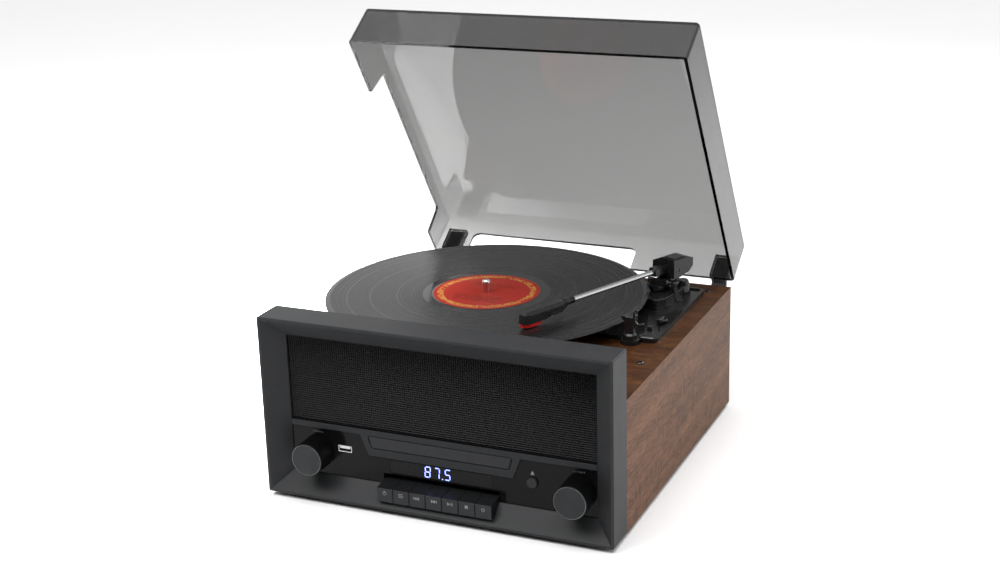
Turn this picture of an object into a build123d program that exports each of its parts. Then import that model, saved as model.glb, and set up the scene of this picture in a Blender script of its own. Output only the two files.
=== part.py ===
from build123d import *
import os
from math import cos, radians, sin, tan

# Stereo music centre: a veneered cabinet with a record deck, a CD tray, a tuner and two speakers.
#
# Millimetres. +X is to the right, +Y to the rear and +Z up, so the front faces -Y.
# The origin is on the table, under the middle of the cabinet.

os.makedirs("parts", exist_ok=True)

# ------------------------------------------------------------------ driving dimensions

# Cabinet
cabinet_width = 324
cabinet_depth = 303  # the veneered box behind the bezel
cabinet_height = 119
board = 9  # MDF of the top, sides and bottom
rear_panel_thickness = 4
foot_height = 4
foot_radius = 11

# Bezel
bezel_depth = 32
bezel_height = cabinet_height + 44.5
bezel_wall = 3
bezel_rim = 2.5  # flat front edge before the inner faces slope in
slope_depth = 15
opening_side_margin = 19.3
opening_top_margin = 18.9
opening_bottom_margin = 18
opening_lip = 2.5

# Front parts
grille_thickness = 1.2
grille_overlap = 2.7
panel_height = 48.3
panel_thickness = 2.5
panel_set_back = 1  # behind the edge of the bezel's opening
raised_height = 1.5
band_height = 5.4
surround_depth = 18.6
surround_slant = 7.5
knob_radius = 15
knob_length = 22.4
knob_height_z = 43
tuning_inset = knob_radius + 10.2
volume_inset = knob_radius + 1.2
stem_radius = 3
encoder_width = 13
eject_radius = 4.8
eject_z = 45
usb_z = 48.4
usb_width = 13
usb_height = 5.6
window_width = 96
window_height = 12.6

# Keys
key_names = ["standby", "function", "previous", "next", "play", "stop", "mode"]
key_width = 15
key_gap = 0.4
key_bottom_z = 12
key_front_height = 12.6
key_back_height = 14.4
key_travel = 2

# Speakers
speaker_radius = 33
speaker_hole_radius = 29
speaker_inset = 44.7
speaker_height_z = 90
magnet_radius = 17.5

# CD drive
tray_width = 124
tray_length = 157
tray_thickness = 7
door_width = tray_width + 11.2
door_height = 10.8
door_slant = 3
door_thickness = 2
disc_radius = 61
small_disc_radius = 41

# Record deck
record_x = -35
record_y = 32
record_radius = 151
record_thickness = 1.9
record_top_z = foot_height + cabinet_height + 17.5
label_radius = 50
mat_radius = 97
mat_thickness = 1.4
platter_radius = 98
platter_web = 2.5
platter_height = 8.7
drive_rim_radius = 60
spindle_radius = 3.55
spindle_top_z = record_top_z + 12
chassis_radius = 114
chassis_floor = 2.5
chassis_lip = 1.5
chassis_rib = 0.8  # the low rib inside the raised edge
chassis_overlap = 5
arm_block_right = 143.5
arm_block_front = -6
arm_block_rear = 144
motor_distance = 78
motor_radius = 16
motor_height = 22
pulley_radius = 6
belt_thickness = 0.8
belt_width = 3.2

# Tonearm
arm_x = 113.1
arm_y = 122
arm_yaw = 23.7  # how far the arm is swung in from straight ahead
arm_z = record_top_z + 11.5
arm_swing_out = 27.2  # from there to its rest
tower_radius = 12
tower_top_z = arm_z - 11
platform_height = 9
arm_tube_radius = 2.5
arm_tube_wall = 0.5
arm_tube_start = 12
arm_tube_end = 133
sleeve_end = 21.5
sleeve_width = 9
sleeve_height = 8
collar_radius = 3.2
collar_start = 127.5
collar_end = 138
headshell_end = 192
stylus_reach = 189
housing_half_width = 13.5
housing_top_z = arm_z + 11
housing_bottom_z = arm_z - 7.4
rest_y = -9.9
rest_depth = 6
parked_gap = 0.5
pad_radius = 19.3
pad_lift = 2

# Cover
cover_width = cabinet_width - 1
cover_length = 296.6
cover_height = 44
cover_wall = 3
cover_rear_set_back = 5.2
cover_rim_gap = 0.5
cover_open_angle = 57
side_notch_depth = 14
side_notch_length = 194
rear_notch_depth = 17.5
rear_notch_width = 179.5
hinge_x = cabinet_width / 2 - 17
hinge_behind = 5.5  # the hinge line's distance behind the cabinet
hinge_below = 17.3  # and below its top
hinge_pin_radius = 2
hinge_width = 15.4
tongue_thickness = 3.2
socket_wall = 1.1
socket_length = 25.5

# Fits
seat = 0.1  # a fixed piece in its opening
slide = 0.4  # between flat faces that move
turn = 0.05  # a shaft in its bore
lift_off = 0.3  # a moving piece over the face that it runs on

# ------------------------------------------------------------------ places worked out from them

half_width = cabinet_width / 2
inner_half = half_width - board
front_y = -(cabinet_depth + bezel_depth) / 2
bezel_back_y = front_y + bezel_depth
rear_y = bezel_back_y + cabinet_depth
base_z = foot_height
floor_z = base_z + board
deck_z = base_z + cabinet_height
bezel_top_z = base_z + bezel_height

opening_y = front_y + slope_depth
lip_back_y = opening_y + opening_lip
opening_half = half_width - opening_side_margin
opening_bottom_z = base_z + opening_bottom_margin
opening_top_z = bezel_top_z - opening_top_margin
opening_height = opening_top_z - opening_bottom_z
opening_mid_z = (opening_top_z + opening_bottom_z) / 2

panel_face_y = opening_y + panel_set_back
panel_back_y = panel_face_y + panel_thickness
panel_top_z = opening_bottom_z + panel_height
raised_face_y = panel_face_y - raised_height
band_bottom_z = panel_top_z - band_height
board_face_y = panel_back_y + 15
tuning_x = -(opening_half - tuning_inset)
volume_x = opening_half - volume_inset
speaker_x = opening_half - speaker_inset

key_pitch = key_width + key_gap
key_row_half = (len(key_names) * key_pitch - key_gap) / 2
key_back_y = board_face_y - 6

door_top_z = band_bottom_z - 0.2
door_bottom_z = door_top_z - door_height
tray_bottom_z = door_bottom_z + 1.7
tray_top_z = tray_bottom_z + tray_thickness
tray_front_y = raised_face_y + door_thickness
tray_half = tray_width / 2
surround_half_width = door_width / 2 + 7.9
eject_x = surround_half_width + 9.5
usb_x = -surround_half_width - 15.7
disc_y = tray_front_y + 70

record_bottom_z = record_top_z - record_thickness
platter_top_z = record_bottom_z - mat_thickness
platter_web_z = platter_top_z - platter_web
floor_top_z = deck_z + chassis_floor
bearing_top_z = floor_top_z + 1.9

parked_angle = radians(arm_swing_out - arm_yaw)
rest_x = arm_x + (arm_y - rest_y) * tan(parked_angle)

hinge_y = rear_y + hinge_behind
hinge_z = deck_z - hinge_below
rim_z = deck_z + cover_rim_gap
cover_top_z = rim_z + cover_height
cover_rear_y = rear_y - cover_rear_set_back
cover_front_y = cover_rear_y - cover_length

# ------------------------------------------------------------------ planes and shared shapes


def level(z):
    """A horizontal plane at z."""
    return Plane.XY.offset(z)


def facing(y):
    """The plane of a front view at y: drawn in X and Z, and extruded towards the front."""
    return Plane.XZ.offset(-y)


def side_on(x):
    """The plane of a side view at x: drawn in Y and Z, and extruded to the right."""
    return Plane.YZ.offset(x)


def upright(x, y):
    """A plane through a vertical axis: drawn in radius and Z."""
    return Plane(origin=(x, y, 0), x_dir=(1, 0, 0), z_dir=(0, -1, 0))


def upright_axis(x, y):
    return Axis((x, y, 0), (0, 0, 1))


def depth_axis(x, z):
    return Axis((x, 0, z), (0, 1, 0))


def save(piece, name):
    """Label a finished piece and write its file."""
    piece.part.label = name
    export_step(piece.part, f"parts/{name}.step")


on_base = (Align.CENTER, Align.CENTER, Align.MIN)

# ------------------------------------------------------------------ cabinet


def side_board(sign):
    """A side, with its top edge mitred to meet the top board."""
    outer = sign * half_width
    inner = sign * inner_half
    mitre_z = deck_z - board
    with BuildPart() as side:
        with BuildSketch(facing(rear_y)):
            with BuildLine():
                Polyline((outer, base_z), (outer, deck_z), (inner, mitre_z), (inner, base_z), close=True)
            make_face()
        extrude(amount=cabinet_depth)
    return side


cabinet_left_side = side_board(-1)
save(cabinet_left_side, "cabinet_left_side")
cabinet_right_side = side_board(1)
save(cabinet_right_side, "cabinet_right_side")


def deck_outline(inset):
    """The chassis seen from above: a disc round the platter and a block for the tonearm."""
    block_depth = arm_block_rear - arm_block_front
    block_width = arm_block_right - record_x
    with BuildSketch() as outline:
        with Locations((record_x, record_y)):
            Circle(chassis_radius)
        with Locations(((record_x + arm_block_right) / 2, (arm_block_rear + arm_block_front) / 2)):
            Rectangle(block_width, block_depth)
        fillet(outline.vertices().group_by(Axis.X)[-1], radius=7)
        if inset:
            offset(amount=-inset, kind=Kind.INTERSECTION)
    return outline.sketch


deck_shape = deck_outline(0)
deck_hole_shape = deck_outline(chassis_overlap)

with BuildPart() as cabinet_top:
    with BuildSketch(facing(rear_y)):
        with BuildLine():
            Polyline(
                (-half_width, deck_z),
                (half_width, deck_z),
                (inner_half, deck_z - board),
                (-inner_half, deck_z - board),
                close=True,
            )
        make_face()
    extrude(amount=cabinet_depth)
    with BuildSketch(level(deck_z)):
        add(deck_hole_shape)
    extrude(amount=-board, mode=Mode.SUBTRACT)
save(cabinet_top, "cabinet_top")

bottom_depth = cabinet_depth - rear_panel_thickness
with BuildPart() as cabinet_bottom:
    with BuildSketch(level(base_z)):
        with Locations((0, bezel_back_y + bottom_depth / 2)):
            Rectangle(2 * inner_half, bottom_depth)
        with Locations((0, rear_y - 70)):
            with GridLocations(14, 0, 9, 1):
                SlotOverall(50, 5, rotation=90, mode=Mode.SUBTRACT)
    extrude(amount=board)
save(cabinet_bottom, "cabinet_bottom")

inlet_x = inner_half - 33
inlet_z = floor_z + 27
socket_x = -inner_half + 60
socket_z = floor_z + 47
socket_spacing = 14
with BuildPart() as cabinet_rear:
    with BuildSketch(facing(rear_y)):
        with Locations((0, (base_z + deck_z - board) / 2)):
            Rectangle(2 * inner_half, cabinet_height - board)
        with Locations((inlet_x, inlet_z)):
            Rectangle(24 + 2 * seat, 16 + 2 * seat, mode=Mode.SUBTRACT)
        with Locations((socket_x, socket_z)):
            with GridLocations(socket_spacing, 0, 3, 1):
                Circle(4.3, mode=Mode.SUBTRACT)
        with Locations((20, deck_z - board - 30)):
            with GridLocations(9, 0, 10, 1):
                SlotOverall(34, 4, rotation=90, mode=Mode.SUBTRACT)
    extrude(amount=rear_panel_thickness)
save(cabinet_rear, "cabinet_rear")

foot_x = half_width - 27
foot_front_y = bezel_back_y + 20
foot_rear_y = rear_y - 27
with BuildPart() as rubber_feet:
    with Locations((0, (foot_front_y + foot_rear_y) / 2, foot_height / 2)):
        with GridLocations(2 * foot_x, foot_rear_y - foot_front_y, 2, 2):
            Cone(foot_radius - 0.8, foot_radius, foot_height)
save(rubber_feet, "rubber_feet")

# ------------------------------------------------------------------ front


def block(y, depth, half, bottom, top, x=0, mode=Mode.ADD):
    """A block, or a cut, from y towards the front: half of its width each side of x."""
    with BuildSketch(facing(y)) as outline:
        with Locations((x, (bottom + top) / 2)):
            Rectangle(2 * half, top - bottom)
    extrude(outline.sketch, amount=depth, mode=mode)


trough_half = key_row_half + slide
trough_wall = 1.6
trough_floor_z = key_bottom_z - slide

with BuildPart() as front_bezel:
    block(bezel_back_y, bezel_depth, half_width, base_z, bezel_top_z)
    fillet(front_bezel.edges().filter_by(Axis.Y), radius=1.5)
    fillet(front_bezel.faces().sort_by(Axis.Y)[0].edges(), radius=0.8)
    inner_bottom_z = base_z + bezel_wall
    inner_top_z = bezel_top_z - bezel_wall
    block(bezel_back_y, bezel_depth - bezel_wall, half_width - bezel_wall, inner_bottom_z, inner_top_z,
          mode=Mode.SUBTRACT)
    # The wall behind the sloping faces, then the slopes themselves
    for wall, mode in [(opening_lip, Mode.ADD), (0, Mode.SUBTRACT)]:
        with BuildSketch(facing(front_y + wall)):
            with Locations((0, base_z + bezel_height / 2)):
                Rectangle(cabinet_width - 2 * bezel_rim + wall, bezel_height - 2 * bezel_rim + wall)
        with BuildSketch(facing(opening_y + wall)):
            with Locations((0, opening_mid_z)):
                Rectangle(2 * (opening_half + wall), opening_height + 2 * wall)
        loft(mode=mode)
        if wall:
            block(lip_back_y, lip_back_y - front_y - bezel_wall, trough_half + trough_wall,
                  trough_floor_z - trough_wall, opening_bottom_z)
    block(lip_back_y, opening_lip, opening_half, opening_bottom_z, opening_top_z, mode=Mode.SUBTRACT)
    block(lip_back_y, lip_back_y - front_y, trough_half, trough_floor_z, opening_bottom_z + 1, mode=Mode.SUBTRACT)
save(front_bezel, "front_bezel")

grille_front_y = lip_back_y
grille_back_y = grille_front_y + grille_thickness
with BuildPart() as speaker_grille:
    block(grille_back_y, grille_thickness, opening_half + grille_overlap, panel_top_z,
          opening_top_z + grille_overlap)
save(speaker_grille, "speaker_grille")

baffle_half = half_width - bezel_wall
baffle_top_z = bezel_top_z - bezel_wall
baffle_bottom_z = panel_top_z + 0.2
baffle_thickness = 2.8
baffle_back_y = grille_back_y + baffle_thickness
baffle_wall = 2.5
closing_thickness = 3
lobe_inner = tray_half + 2  # the lobes under the speakers leave room for the tray
lobe_outer = speaker_x + speaker_radius + 1
lobe_depth = 15
with BuildPart() as speaker_baffle:
    web_depth = bezel_back_y - grille_back_y
    closing_bottom_z = deck_z + 0.2
    block(baffle_back_y, baffle_thickness, baffle_half, baffle_bottom_z, baffle_top_z)
    # The wall that closes the bezel above the deck, and the webs that reach back to it
    block(bezel_back_y, closing_thickness, baffle_half, closing_bottom_z, baffle_top_z)
    block(bezel_back_y, web_depth, baffle_half, baffle_top_z - baffle_wall, baffle_top_z)
    for side in (-1, 1):
        block(baffle_back_y, baffle_thickness, (lobe_outer - lobe_inner) / 2, baffle_bottom_z - lobe_depth,
              baffle_bottom_z, side * (lobe_inner + lobe_outer) / 2)
        block(bezel_back_y, web_depth, baffle_wall / 2, closing_bottom_z, baffle_top_z,
              side * (baffle_half - baffle_wall / 2))
    with BuildSketch(facing(baffle_back_y)):
        for side in (-1, 1):
            with Locations((side * speaker_x, speaker_height_z)):
                Circle(speaker_hole_radius)
    extrude(amount=baffle_thickness, mode=Mode.SUBTRACT)
save(speaker_baffle, "speaker_baffle")

flange_back_y = baffle_back_y + 1.5
neck_y = flange_back_y + 15
magnet_back_y = neck_y + 10
neck_radius = magnet_radius - 1
basket_wall = 1.2
coil_radius = 9
speaker_axis = depth_axis(speaker_x, speaker_height_z)
with BuildPart() as speaker_frames:
    with BuildSketch(level(speaker_height_z)):
        with BuildLine():
            Polyline(
                (speaker_x, neck_y),
                (speaker_x, magnet_back_y),
                (speaker_x + magnet_radius, magnet_back_y),
                (speaker_x + magnet_radius, neck_y),
                (speaker_x + neck_radius, neck_y),
                (speaker_x + speaker_hole_radius + basket_wall, flange_back_y),
                (speaker_x + speaker_radius, flange_back_y),
                (speaker_x + speaker_radius, baffle_back_y),
                (speaker_x + speaker_hole_radius, baffle_back_y),
                (speaker_x + neck_radius - basket_wall, neck_y - basket_wall),
                (speaker_x + coil_radius, neck_y - basket_wall),
                (speaker_x + coil_radius, neck_y),
                close=True,
            )
        make_face()
    revolve(axis=speaker_axis)
    mirror(about=Plane.YZ)
save(speaker_frames, "speaker_frames")

cone_wall = 0.6
with BuildPart() as speaker_cones:
    with BuildSketch(level(speaker_height_z)):
        with BuildLine():
            cap_edge = (speaker_x + coil_radius, neck_y - 4)
            cap = ThreePointArc((speaker_x, neck_y - 9), (speaker_x + 6, neck_y - 7.6), cap_edge)
            Polyline(
                cap @ 1,
                (speaker_x + speaker_hole_radius - 3, baffle_back_y + 0.6),
                (speaker_x + speaker_hole_radius, baffle_back_y),
                (speaker_x + speaker_hole_radius - 3, baffle_back_y + 0.6 + 2 * cone_wall),
                (speaker_x + coil_radius, neck_y - 4 + cone_wall),
                (speaker_x + coil_radius, neck_y),
                (speaker_x, neck_y),
                cap @ 0,
            )
        make_face()
    revolve(axis=speaker_axis)
    mirror(about=Plane.YZ)
save(speaker_cones, "speaker_cones")

# ------------------------------------------------------------------ control panel


def front_shape(width_top, width_bottom, bottom, top, corner):
    """A trapezoid with rounded corners, as seen from the front."""
    with BuildSketch() as shape:
        with BuildLine():
            Polyline(
                (-width_top, top), (width_top, top), (width_bottom, bottom), (-width_bottom, bottom), close=True
            )
        make_face()
        fillet(shape.vertices(), radius=corner)
    return shape.sketch


recess_half = key_row_half + 2 * slide
recess_top_z = opening_bottom_z + 9.5
recess_wall = 1.5
recess_depth = 6
key_top_z = key_bottom_z + key_back_height
window_bottom_z = recess_top_z + 1
window_top_z = window_bottom_z + window_height
surround_bottom_z = band_bottom_z - surround_depth
pillar_radius = 3
pillar_places = [(-100, 27), (-70, 40), (70, 40), (100, 27)]
door_shape = front_shape(door_width / 2, door_width / 2 - door_slant, door_bottom_z, door_top_z, 2)

with BuildPart() as control_panel:
    flange_thickness = panel_back_y - lip_back_y
    block(panel_back_y, panel_thickness, opening_half - seat, opening_bottom_z + seat, panel_top_z - seat)
    block(panel_back_y, flange_thickness, opening_half + 3.3, opening_bottom_z - 3, panel_top_z - seat)
    block(panel_face_y, raised_height, opening_half - seat, band_bottom_z, panel_top_z - seat)
    with BuildSketch(facing(panel_face_y)):
        surround_foot = surround_half_width - surround_slant
        add(front_shape(surround_half_width, surround_foot, surround_bottom_z, band_bottom_z + 1, 0.6))
    extrude(amount=raised_height)
    front_edges = control_panel.faces().sort_by(Axis.Y)[0].edges()
    fillet(front_edges, radius=0.6)
    # The finger recess above the keys, with its roof and back
    block(panel_back_y + recess_depth, recess_depth, recess_half + recess_wall, opening_bottom_z + seat,
          recess_top_z + recess_wall)
    block(panel_back_y + recess_depth - recess_wall, panel_thickness + recess_depth, recess_half,
          key_top_z + slide, recess_top_z, mode=Mode.SUBTRACT)
    block(panel_back_y + recess_depth, panel_thickness + recess_depth, recess_half, opening_bottom_z - 4,
          key_top_z + slide, mode=Mode.SUBTRACT)
    # Openings for the display, the tray, the socket, the eject button and the knobs
    block(panel_back_y, panel_thickness, window_width / 2, window_bottom_z, window_top_z, mode=Mode.SUBTRACT)
    with BuildSketch(facing(panel_back_y)):
        add(offset(door_shape, amount=slide, mode=Mode.PRIVATE))
        with Locations((usb_x, usb_z)):
            RectangleRounded(usb_width + 2 * seat, usb_height + 2 * seat, 0.6)
        with Locations((eject_x, eject_z)):
            Circle(eject_radius + lift_off)
        with Locations((tuning_x, knob_height_z), (volume_x, knob_height_z)):
            Circle(stem_radius + 1)
    extrude(amount=panel_thickness + raised_height, mode=Mode.SUBTRACT)
    with BuildSketch(facing(board_face_y)):
        for place in pillar_places:
            with Locations(place):
                Circle(pillar_radius)
    extrude(amount=board_face_y - panel_back_y)
save(control_panel, "control_panel")

lens_back_y = panel_back_y - 0.5
with BuildPart() as display_lens:
    block(lens_back_y, lens_back_y - panel_face_y, window_width / 2 - seat, window_bottom_z + seat,
          window_top_z - seat)
    fillet(display_lens.faces().sort_by(Axis.Y)[0].edges(), radius=0.3)
save(display_lens, "display_lens")

module_half = 30
with BuildPart() as display_module:
    block(board_face_y, board_face_y - lens_back_y, module_half, recess_top_z + recess_wall + 0.4,
          window_top_z - 0.5)
save(display_module, "display_module")

board_thickness = 1.6
board_half = opening_half - 4.7
board_top_z = 50
switch_half = 3
tuner_can_width = 38
tuner_can_height = 24
capacitor_radius = 5
capacitor_height = 12
stem_bottom_z = key_bottom_z + 3
stem_top_z = stem_bottom_z + 6
with BuildPart() as main_board:
    block(board_face_y + board_thickness, board_thickness, board_half, floor_z + 1, board_top_z)
    with BuildSketch(facing(board_face_y)):
        with Locations((0, (stem_bottom_z + stem_top_z) / 2)):
            with GridLocations(key_pitch, 0, len(key_names), 1):
                Rectangle(2 * switch_half, 2 * switch_half)
        with Locations((eject_x, eject_z)):
            Rectangle(2 * switch_half, 2 * switch_half)
    extrude(amount=board_face_y - key_back_y - key_travel - slide)
    # Capacitors and the tuner can on the back of the board
    with BuildSketch(facing(board_face_y + board_thickness)):
        with Locations((-tray_half - 33, 32)):
            Rectangle(tuner_can_width, tuner_can_height)
        with Locations((tray_half + 20, 30), (tray_half + 34, 30), (tray_half + 48, 30)):
            Circle(capacitor_radius)
    extrude(amount=-capacitor_height)
save(main_board, "main_board")

knob_face_y = panel_face_y - 0.5
encoder_front_y = board_face_y - 7
bushing_front_y = encoder_front_y - 6


def rotary_control(x, name):
    """An encoder or a potentiometer, standing on the board behind its knob."""
    with BuildPart() as control:
        with BuildSketch(facing(board_face_y)) as body:
            with Locations((x, knob_height_z)):
                Rectangle(encoder_width, encoder_width)
        extrude(body.sketch, amount=board_face_y - encoder_front_y)
        with BuildSketch(facing(encoder_front_y)) as bushing:
            with Locations((x, knob_height_z)):
                Circle(stem_radius + 1.4)
        extrude(bushing.sketch, amount=encoder_front_y - bushing_front_y)
        with BuildSketch(facing(board_face_y - 1)) as bore:
            with Locations((x, knob_height_z)):
                Circle(stem_radius + turn)
        extrude(bore.sketch, amount=board_face_y - 1 - bushing_front_y, mode=Mode.SUBTRACT)
    save(control, name)


rotary_control(tuning_x, "tuning_encoder")
rotary_control(volume_x, "volume_potentiometer")


def knob(x, name):
    """A knob, very slightly tapered, with its shaft."""
    knob_front_y = knob_face_y - knob_length
    with BuildPart() as turned:
        with BuildSketch(level(knob_height_z)) as half_profile:
            with BuildLine():
                Polyline(
                    (x, knob_front_y),
                    (x + knob_radius - 0.4, knob_front_y),
                    (x + knob_radius, knob_face_y),
                    (x + knob_radius - 2, knob_face_y),
                    (x + knob_radius - 2, knob_face_y - 8),
                    (x + stem_radius, knob_face_y - 8),
                    (x + stem_radius, board_face_y - 1.5),
                    (x, board_face_y - 1.5),
                    close=True,
                )
            make_face()
        revolve(half_profile.sketch, axis=depth_axis(x, knob_height_z))
        rim = turned.faces().sort_by(Axis.Y)[0].edges()
        fillet(rim, radius=1)
    save(turned, name)


knob(tuning_x, "tuning_knob")
knob(volume_x, "volume_knob")

with BuildPart() as eject_button:
    cap_front_y = panel_face_y - 2.5
    cap_back_y = panel_back_y - 0.5
    with BuildSketch(facing(cap_back_y)):
        with Locations((eject_x, eject_z)):
            Circle(eject_radius)
    extrude(amount=cap_back_y - cap_front_y)
    fillet(eject_button.faces().sort_by(Axis.Y)[0].edges(), radius=0.8)
    with BuildSketch(facing(key_back_y)):
        with Locations((eject_x, eject_z)):
            Circle(2)
    extrude(amount=key_back_y - cap_back_y)
save(eject_button, "eject_button")

usb_front_y = panel_face_y - 0.5
usb_wall = 0.5
usb_tongue = 1.8
with BuildPart() as usb_socket:
    usb_depth = board_face_y - usb_front_y
    with BuildSketch(facing(board_face_y)):
        with Locations((usb_x, usb_z)):
            RectangleRounded(usb_width, usb_height, 0.5)
    extrude(amount=usb_depth)
    with BuildSketch(facing(board_face_y - 3)):
        with Locations((usb_x, usb_z)):
            Rectangle(usb_width - 2 * usb_wall, usb_height - 2 * usb_wall)
        with Locations((usb_x, usb_z + usb_height / 2 - usb_wall - usb_tongue / 2)):
            Rectangle(usb_width - 3, usb_tongue, mode=Mode.SUBTRACT)
    extrude(amount=usb_depth, mode=Mode.SUBTRACT)
save(usb_socket, "usb_socket")

for index, key_name in enumerate(key_names):
    key_x = -key_row_half + key_width / 2 + index * key_pitch
    with BuildPart() as key:
        head_back_y = lip_back_y + 4
        knee_y = lip_back_y - 1.5
        with BuildSketch(side_on(key_x - key_width / 2)):
            with BuildLine():
                Polyline(
                    (front_y, key_bottom_z),
                    (front_y, key_bottom_z + key_front_height),
                    (knee_y, key_top_z),
                    (head_back_y, key_top_z),
                    (head_back_y, key_bottom_z),
                    close=True,
                )
            make_face()
        extrude(amount=key_width)
        fillet(key.faces().sort_by(Axis.Y)[0].edges(), radius=0.8)
        with BuildSketch(facing(key_back_y)):
            with Locations((key_x, (stem_bottom_z + stem_top_z) / 2)):
                Rectangle(2 * switch_half, 2 * switch_half)
        extrude(amount=key_back_y - head_back_y)
    save(key, f"key_{key_name}")

# ------------------------------------------------------------------ CD tray and drive

well_floor_z = tray_bottom_z + 4
small_well_floor_z = well_floor_z - 1.2
hub_opening_radius = 18
laser_slot_width = 26
laser_slot_length = 44
with BuildPart() as cd_tray:
    with BuildSketch(level(tray_bottom_z)):
        with Locations((0, tray_front_y + tray_length / 2)):
            Rectangle(tray_width, tray_length)
        with Locations((0, disc_y)):
            Circle(hub_opening_radius, mode=Mode.SUBTRACT)
        with Locations((0, disc_y + laser_slot_length / 2)):
            Rectangle(laser_slot_width, laser_slot_length, mode=Mode.SUBTRACT)
    extrude(amount=tray_thickness)
    corners = cd_tray.edges().filter_by(Axis.Z).group_by(Axis.Y)[-1]
    fillet(corners, radius=5)
    for radius, bottom in [(disc_radius, well_floor_z), (small_disc_radius, small_well_floor_z)]:
        with BuildSketch(level(bottom)):
            with Locations((0, disc_y)):
                Circle(radius)
        extrude(amount=tray_thickness, mode=Mode.SUBTRACT)
save(cd_tray, "cd_tray")

with BuildPart() as cd_tray_door:
    with BuildSketch(facing(tray_front_y)):
        add(door_shape)
    extrude(amount=door_thickness)
    fillet(cd_tray_door.faces().sort_by(Axis.Y)[0].edges(), radius=0.5)
save(cd_tray_door, "cd_tray_door")

drive_front_y = board_face_y + 4
drive_rear_y = drive_front_y + 160
drive_mid_y = (drive_front_y + drive_rear_y) / 2
drive_base_z = tray_bottom_z - 8.5
drive_base = 2.5
drive_wall = 3
drive_inner_half = tray_half + slide
drive_top_z = tray_top_z + 3.5
rail_thickness = 2
rail_width = 4.4
with BuildPart() as cd_drive_frame:
    with BuildSketch(level(drive_base_z)):
        with Locations((0, drive_mid_y)):
            Rectangle(2 * (drive_inner_half + drive_wall), drive_rear_y - drive_front_y)
        with Locations((0, disc_y + 38)):
            Rectangle(laser_slot_width, 34, mode=Mode.SUBTRACT)
    extrude(amount=drive_base)
    for side in (-1, 1):
        wall_x = side * (drive_inner_half + drive_wall / 2)
        rail_x = side * (drive_inner_half - rail_width / 2)
        wall_length = drive_rear_y - drive_front_y
        block(drive_rear_y, wall_length, drive_wall / 2, drive_base_z, drive_top_z, wall_x)
        for rail_z in (tray_bottom_z - slide - rail_thickness, tray_top_z + slide):
            block(drive_rear_y, wall_length, rail_width / 2 + 0.1, rail_z, rail_z + rail_thickness, rail_x)
    # The bridge across the top, and the posts that stand on the cabinet's bottom
    block(disc_y + 10, 20, drive_inner_half + drive_wall, drive_top_z, drive_top_z + 2)
    with BuildSketch(level(floor_z)):
        with Locations((0, drive_mid_y)):
            with GridLocations(2 * (drive_inner_half - 2.4), drive_rear_y - drive_front_y - 20, 2, 2):
                Circle(4)
    extrude(amount=drive_base_z - floor_z)
save(cd_drive_frame, "cd_drive_frame")

motor_case_radius = 10
motor_case_height = 3.5
disc_hub_radius = 7.5
disc_hub_top_z = tray_bottom_z - 0.6
with BuildPart() as disc_motor:
    case_bottom_z = drive_base_z + drive_base
    with Locations((0, disc_y, case_bottom_z)):
        Cylinder(motor_case_radius, motor_case_height, align=on_base)
        Cylinder(disc_hub_radius, disc_hub_top_z - case_bottom_z, align=on_base)
save(disc_motor, "disc_motor")

# ------------------------------------------------------------------ mains and sockets

transformer_x = 100
transformer_y = 100
core_width = 57
core_depth = 32
core_height = 35
winding_width = 30
winding_depth = 46
winding_height = 29
lug_width = 75
with BuildPart() as mains_transformer:
    with Locations((transformer_x, transformer_y, floor_z)):
        Box(core_width, core_depth, core_height, align=on_base)
        Box(winding_width, winding_depth, winding_height, align=on_base)
        Box(lug_width, core_depth, 2, align=on_base)
save(mains_transformer, "mains_transformer")

inlet_depth = 20
inlet_width = 24
inlet_height = 16
inlet_flange = 1.5
inlet_border = 2.5
mouth_width = 16.8
mouth_height = 8.2
mouth_depth = 15
pin_spacing = 8.6
pin_radius = 1.2
with BuildPart() as mains_inlet:
    with BuildSketch(facing(rear_y)):
        with Locations((inlet_x, inlet_z)):
            Rectangle(inlet_width, inlet_height)
    extrude(amount=inlet_depth)
    with BuildSketch(facing(rear_y + inlet_flange)):
        with Locations((inlet_x, inlet_z)):
            Rectangle(inlet_width + 2 * inlet_border, inlet_height + 2 * inlet_border)
    extrude(amount=inlet_flange)
    # The mouth and its two pins
    with BuildSketch(facing(rear_y + inlet_flange)):
        with Locations((inlet_x, inlet_z)):
            SlotOverall(mouth_width, mouth_height)
    extrude(amount=mouth_depth, mode=Mode.SUBTRACT)
    with BuildSketch(facing(rear_y)):
        with Locations((inlet_x, inlet_z)):
            with GridLocations(pin_spacing, 0, 2, 1):
                Circle(pin_radius)
    extrude(amount=mouth_depth - 0.5)
save(mains_inlet, "mains_inlet")

with BuildPart() as line_out_jacks:
    with BuildSketch(facing(rear_y - rear_panel_thickness)):
        with Locations((socket_x, socket_z)):
            Rectangle(3 * socket_spacing, 14)
    extrude(amount=12)
    with BuildSketch(facing(rear_y + 7)):
        with Locations((socket_x, socket_z)):
            with GridLocations(socket_spacing, 0, 3, 1):
                Circle(4.2)
                Circle(1.7, mode=Mode.SUBTRACT)
    extrude(amount=7 + rear_panel_thickness)
save(line_out_jacks, "line_out_jacks")

# ------------------------------------------------------------------ record deck


def ring(x, y, bottom, top, outer, inner=0, mode=Mode.ADD):
    """An upright cylinder, or a tube."""
    with BuildSketch(level(bottom)) as outline:
        with Locations((x, y)):
            Circle(outer)
            if inner:
                Circle(inner, mode=Mode.SUBTRACT)
    extrude(outline.sketch, amount=top - bottom, mode=mode)


def shrunk(shape, amount):
    """A flat shape with its outline moved in, corners kept sharp."""
    return offset(shape, amount=-amount, kind=Kind.INTERSECTION, mode=Mode.PRIVATE)


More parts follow.
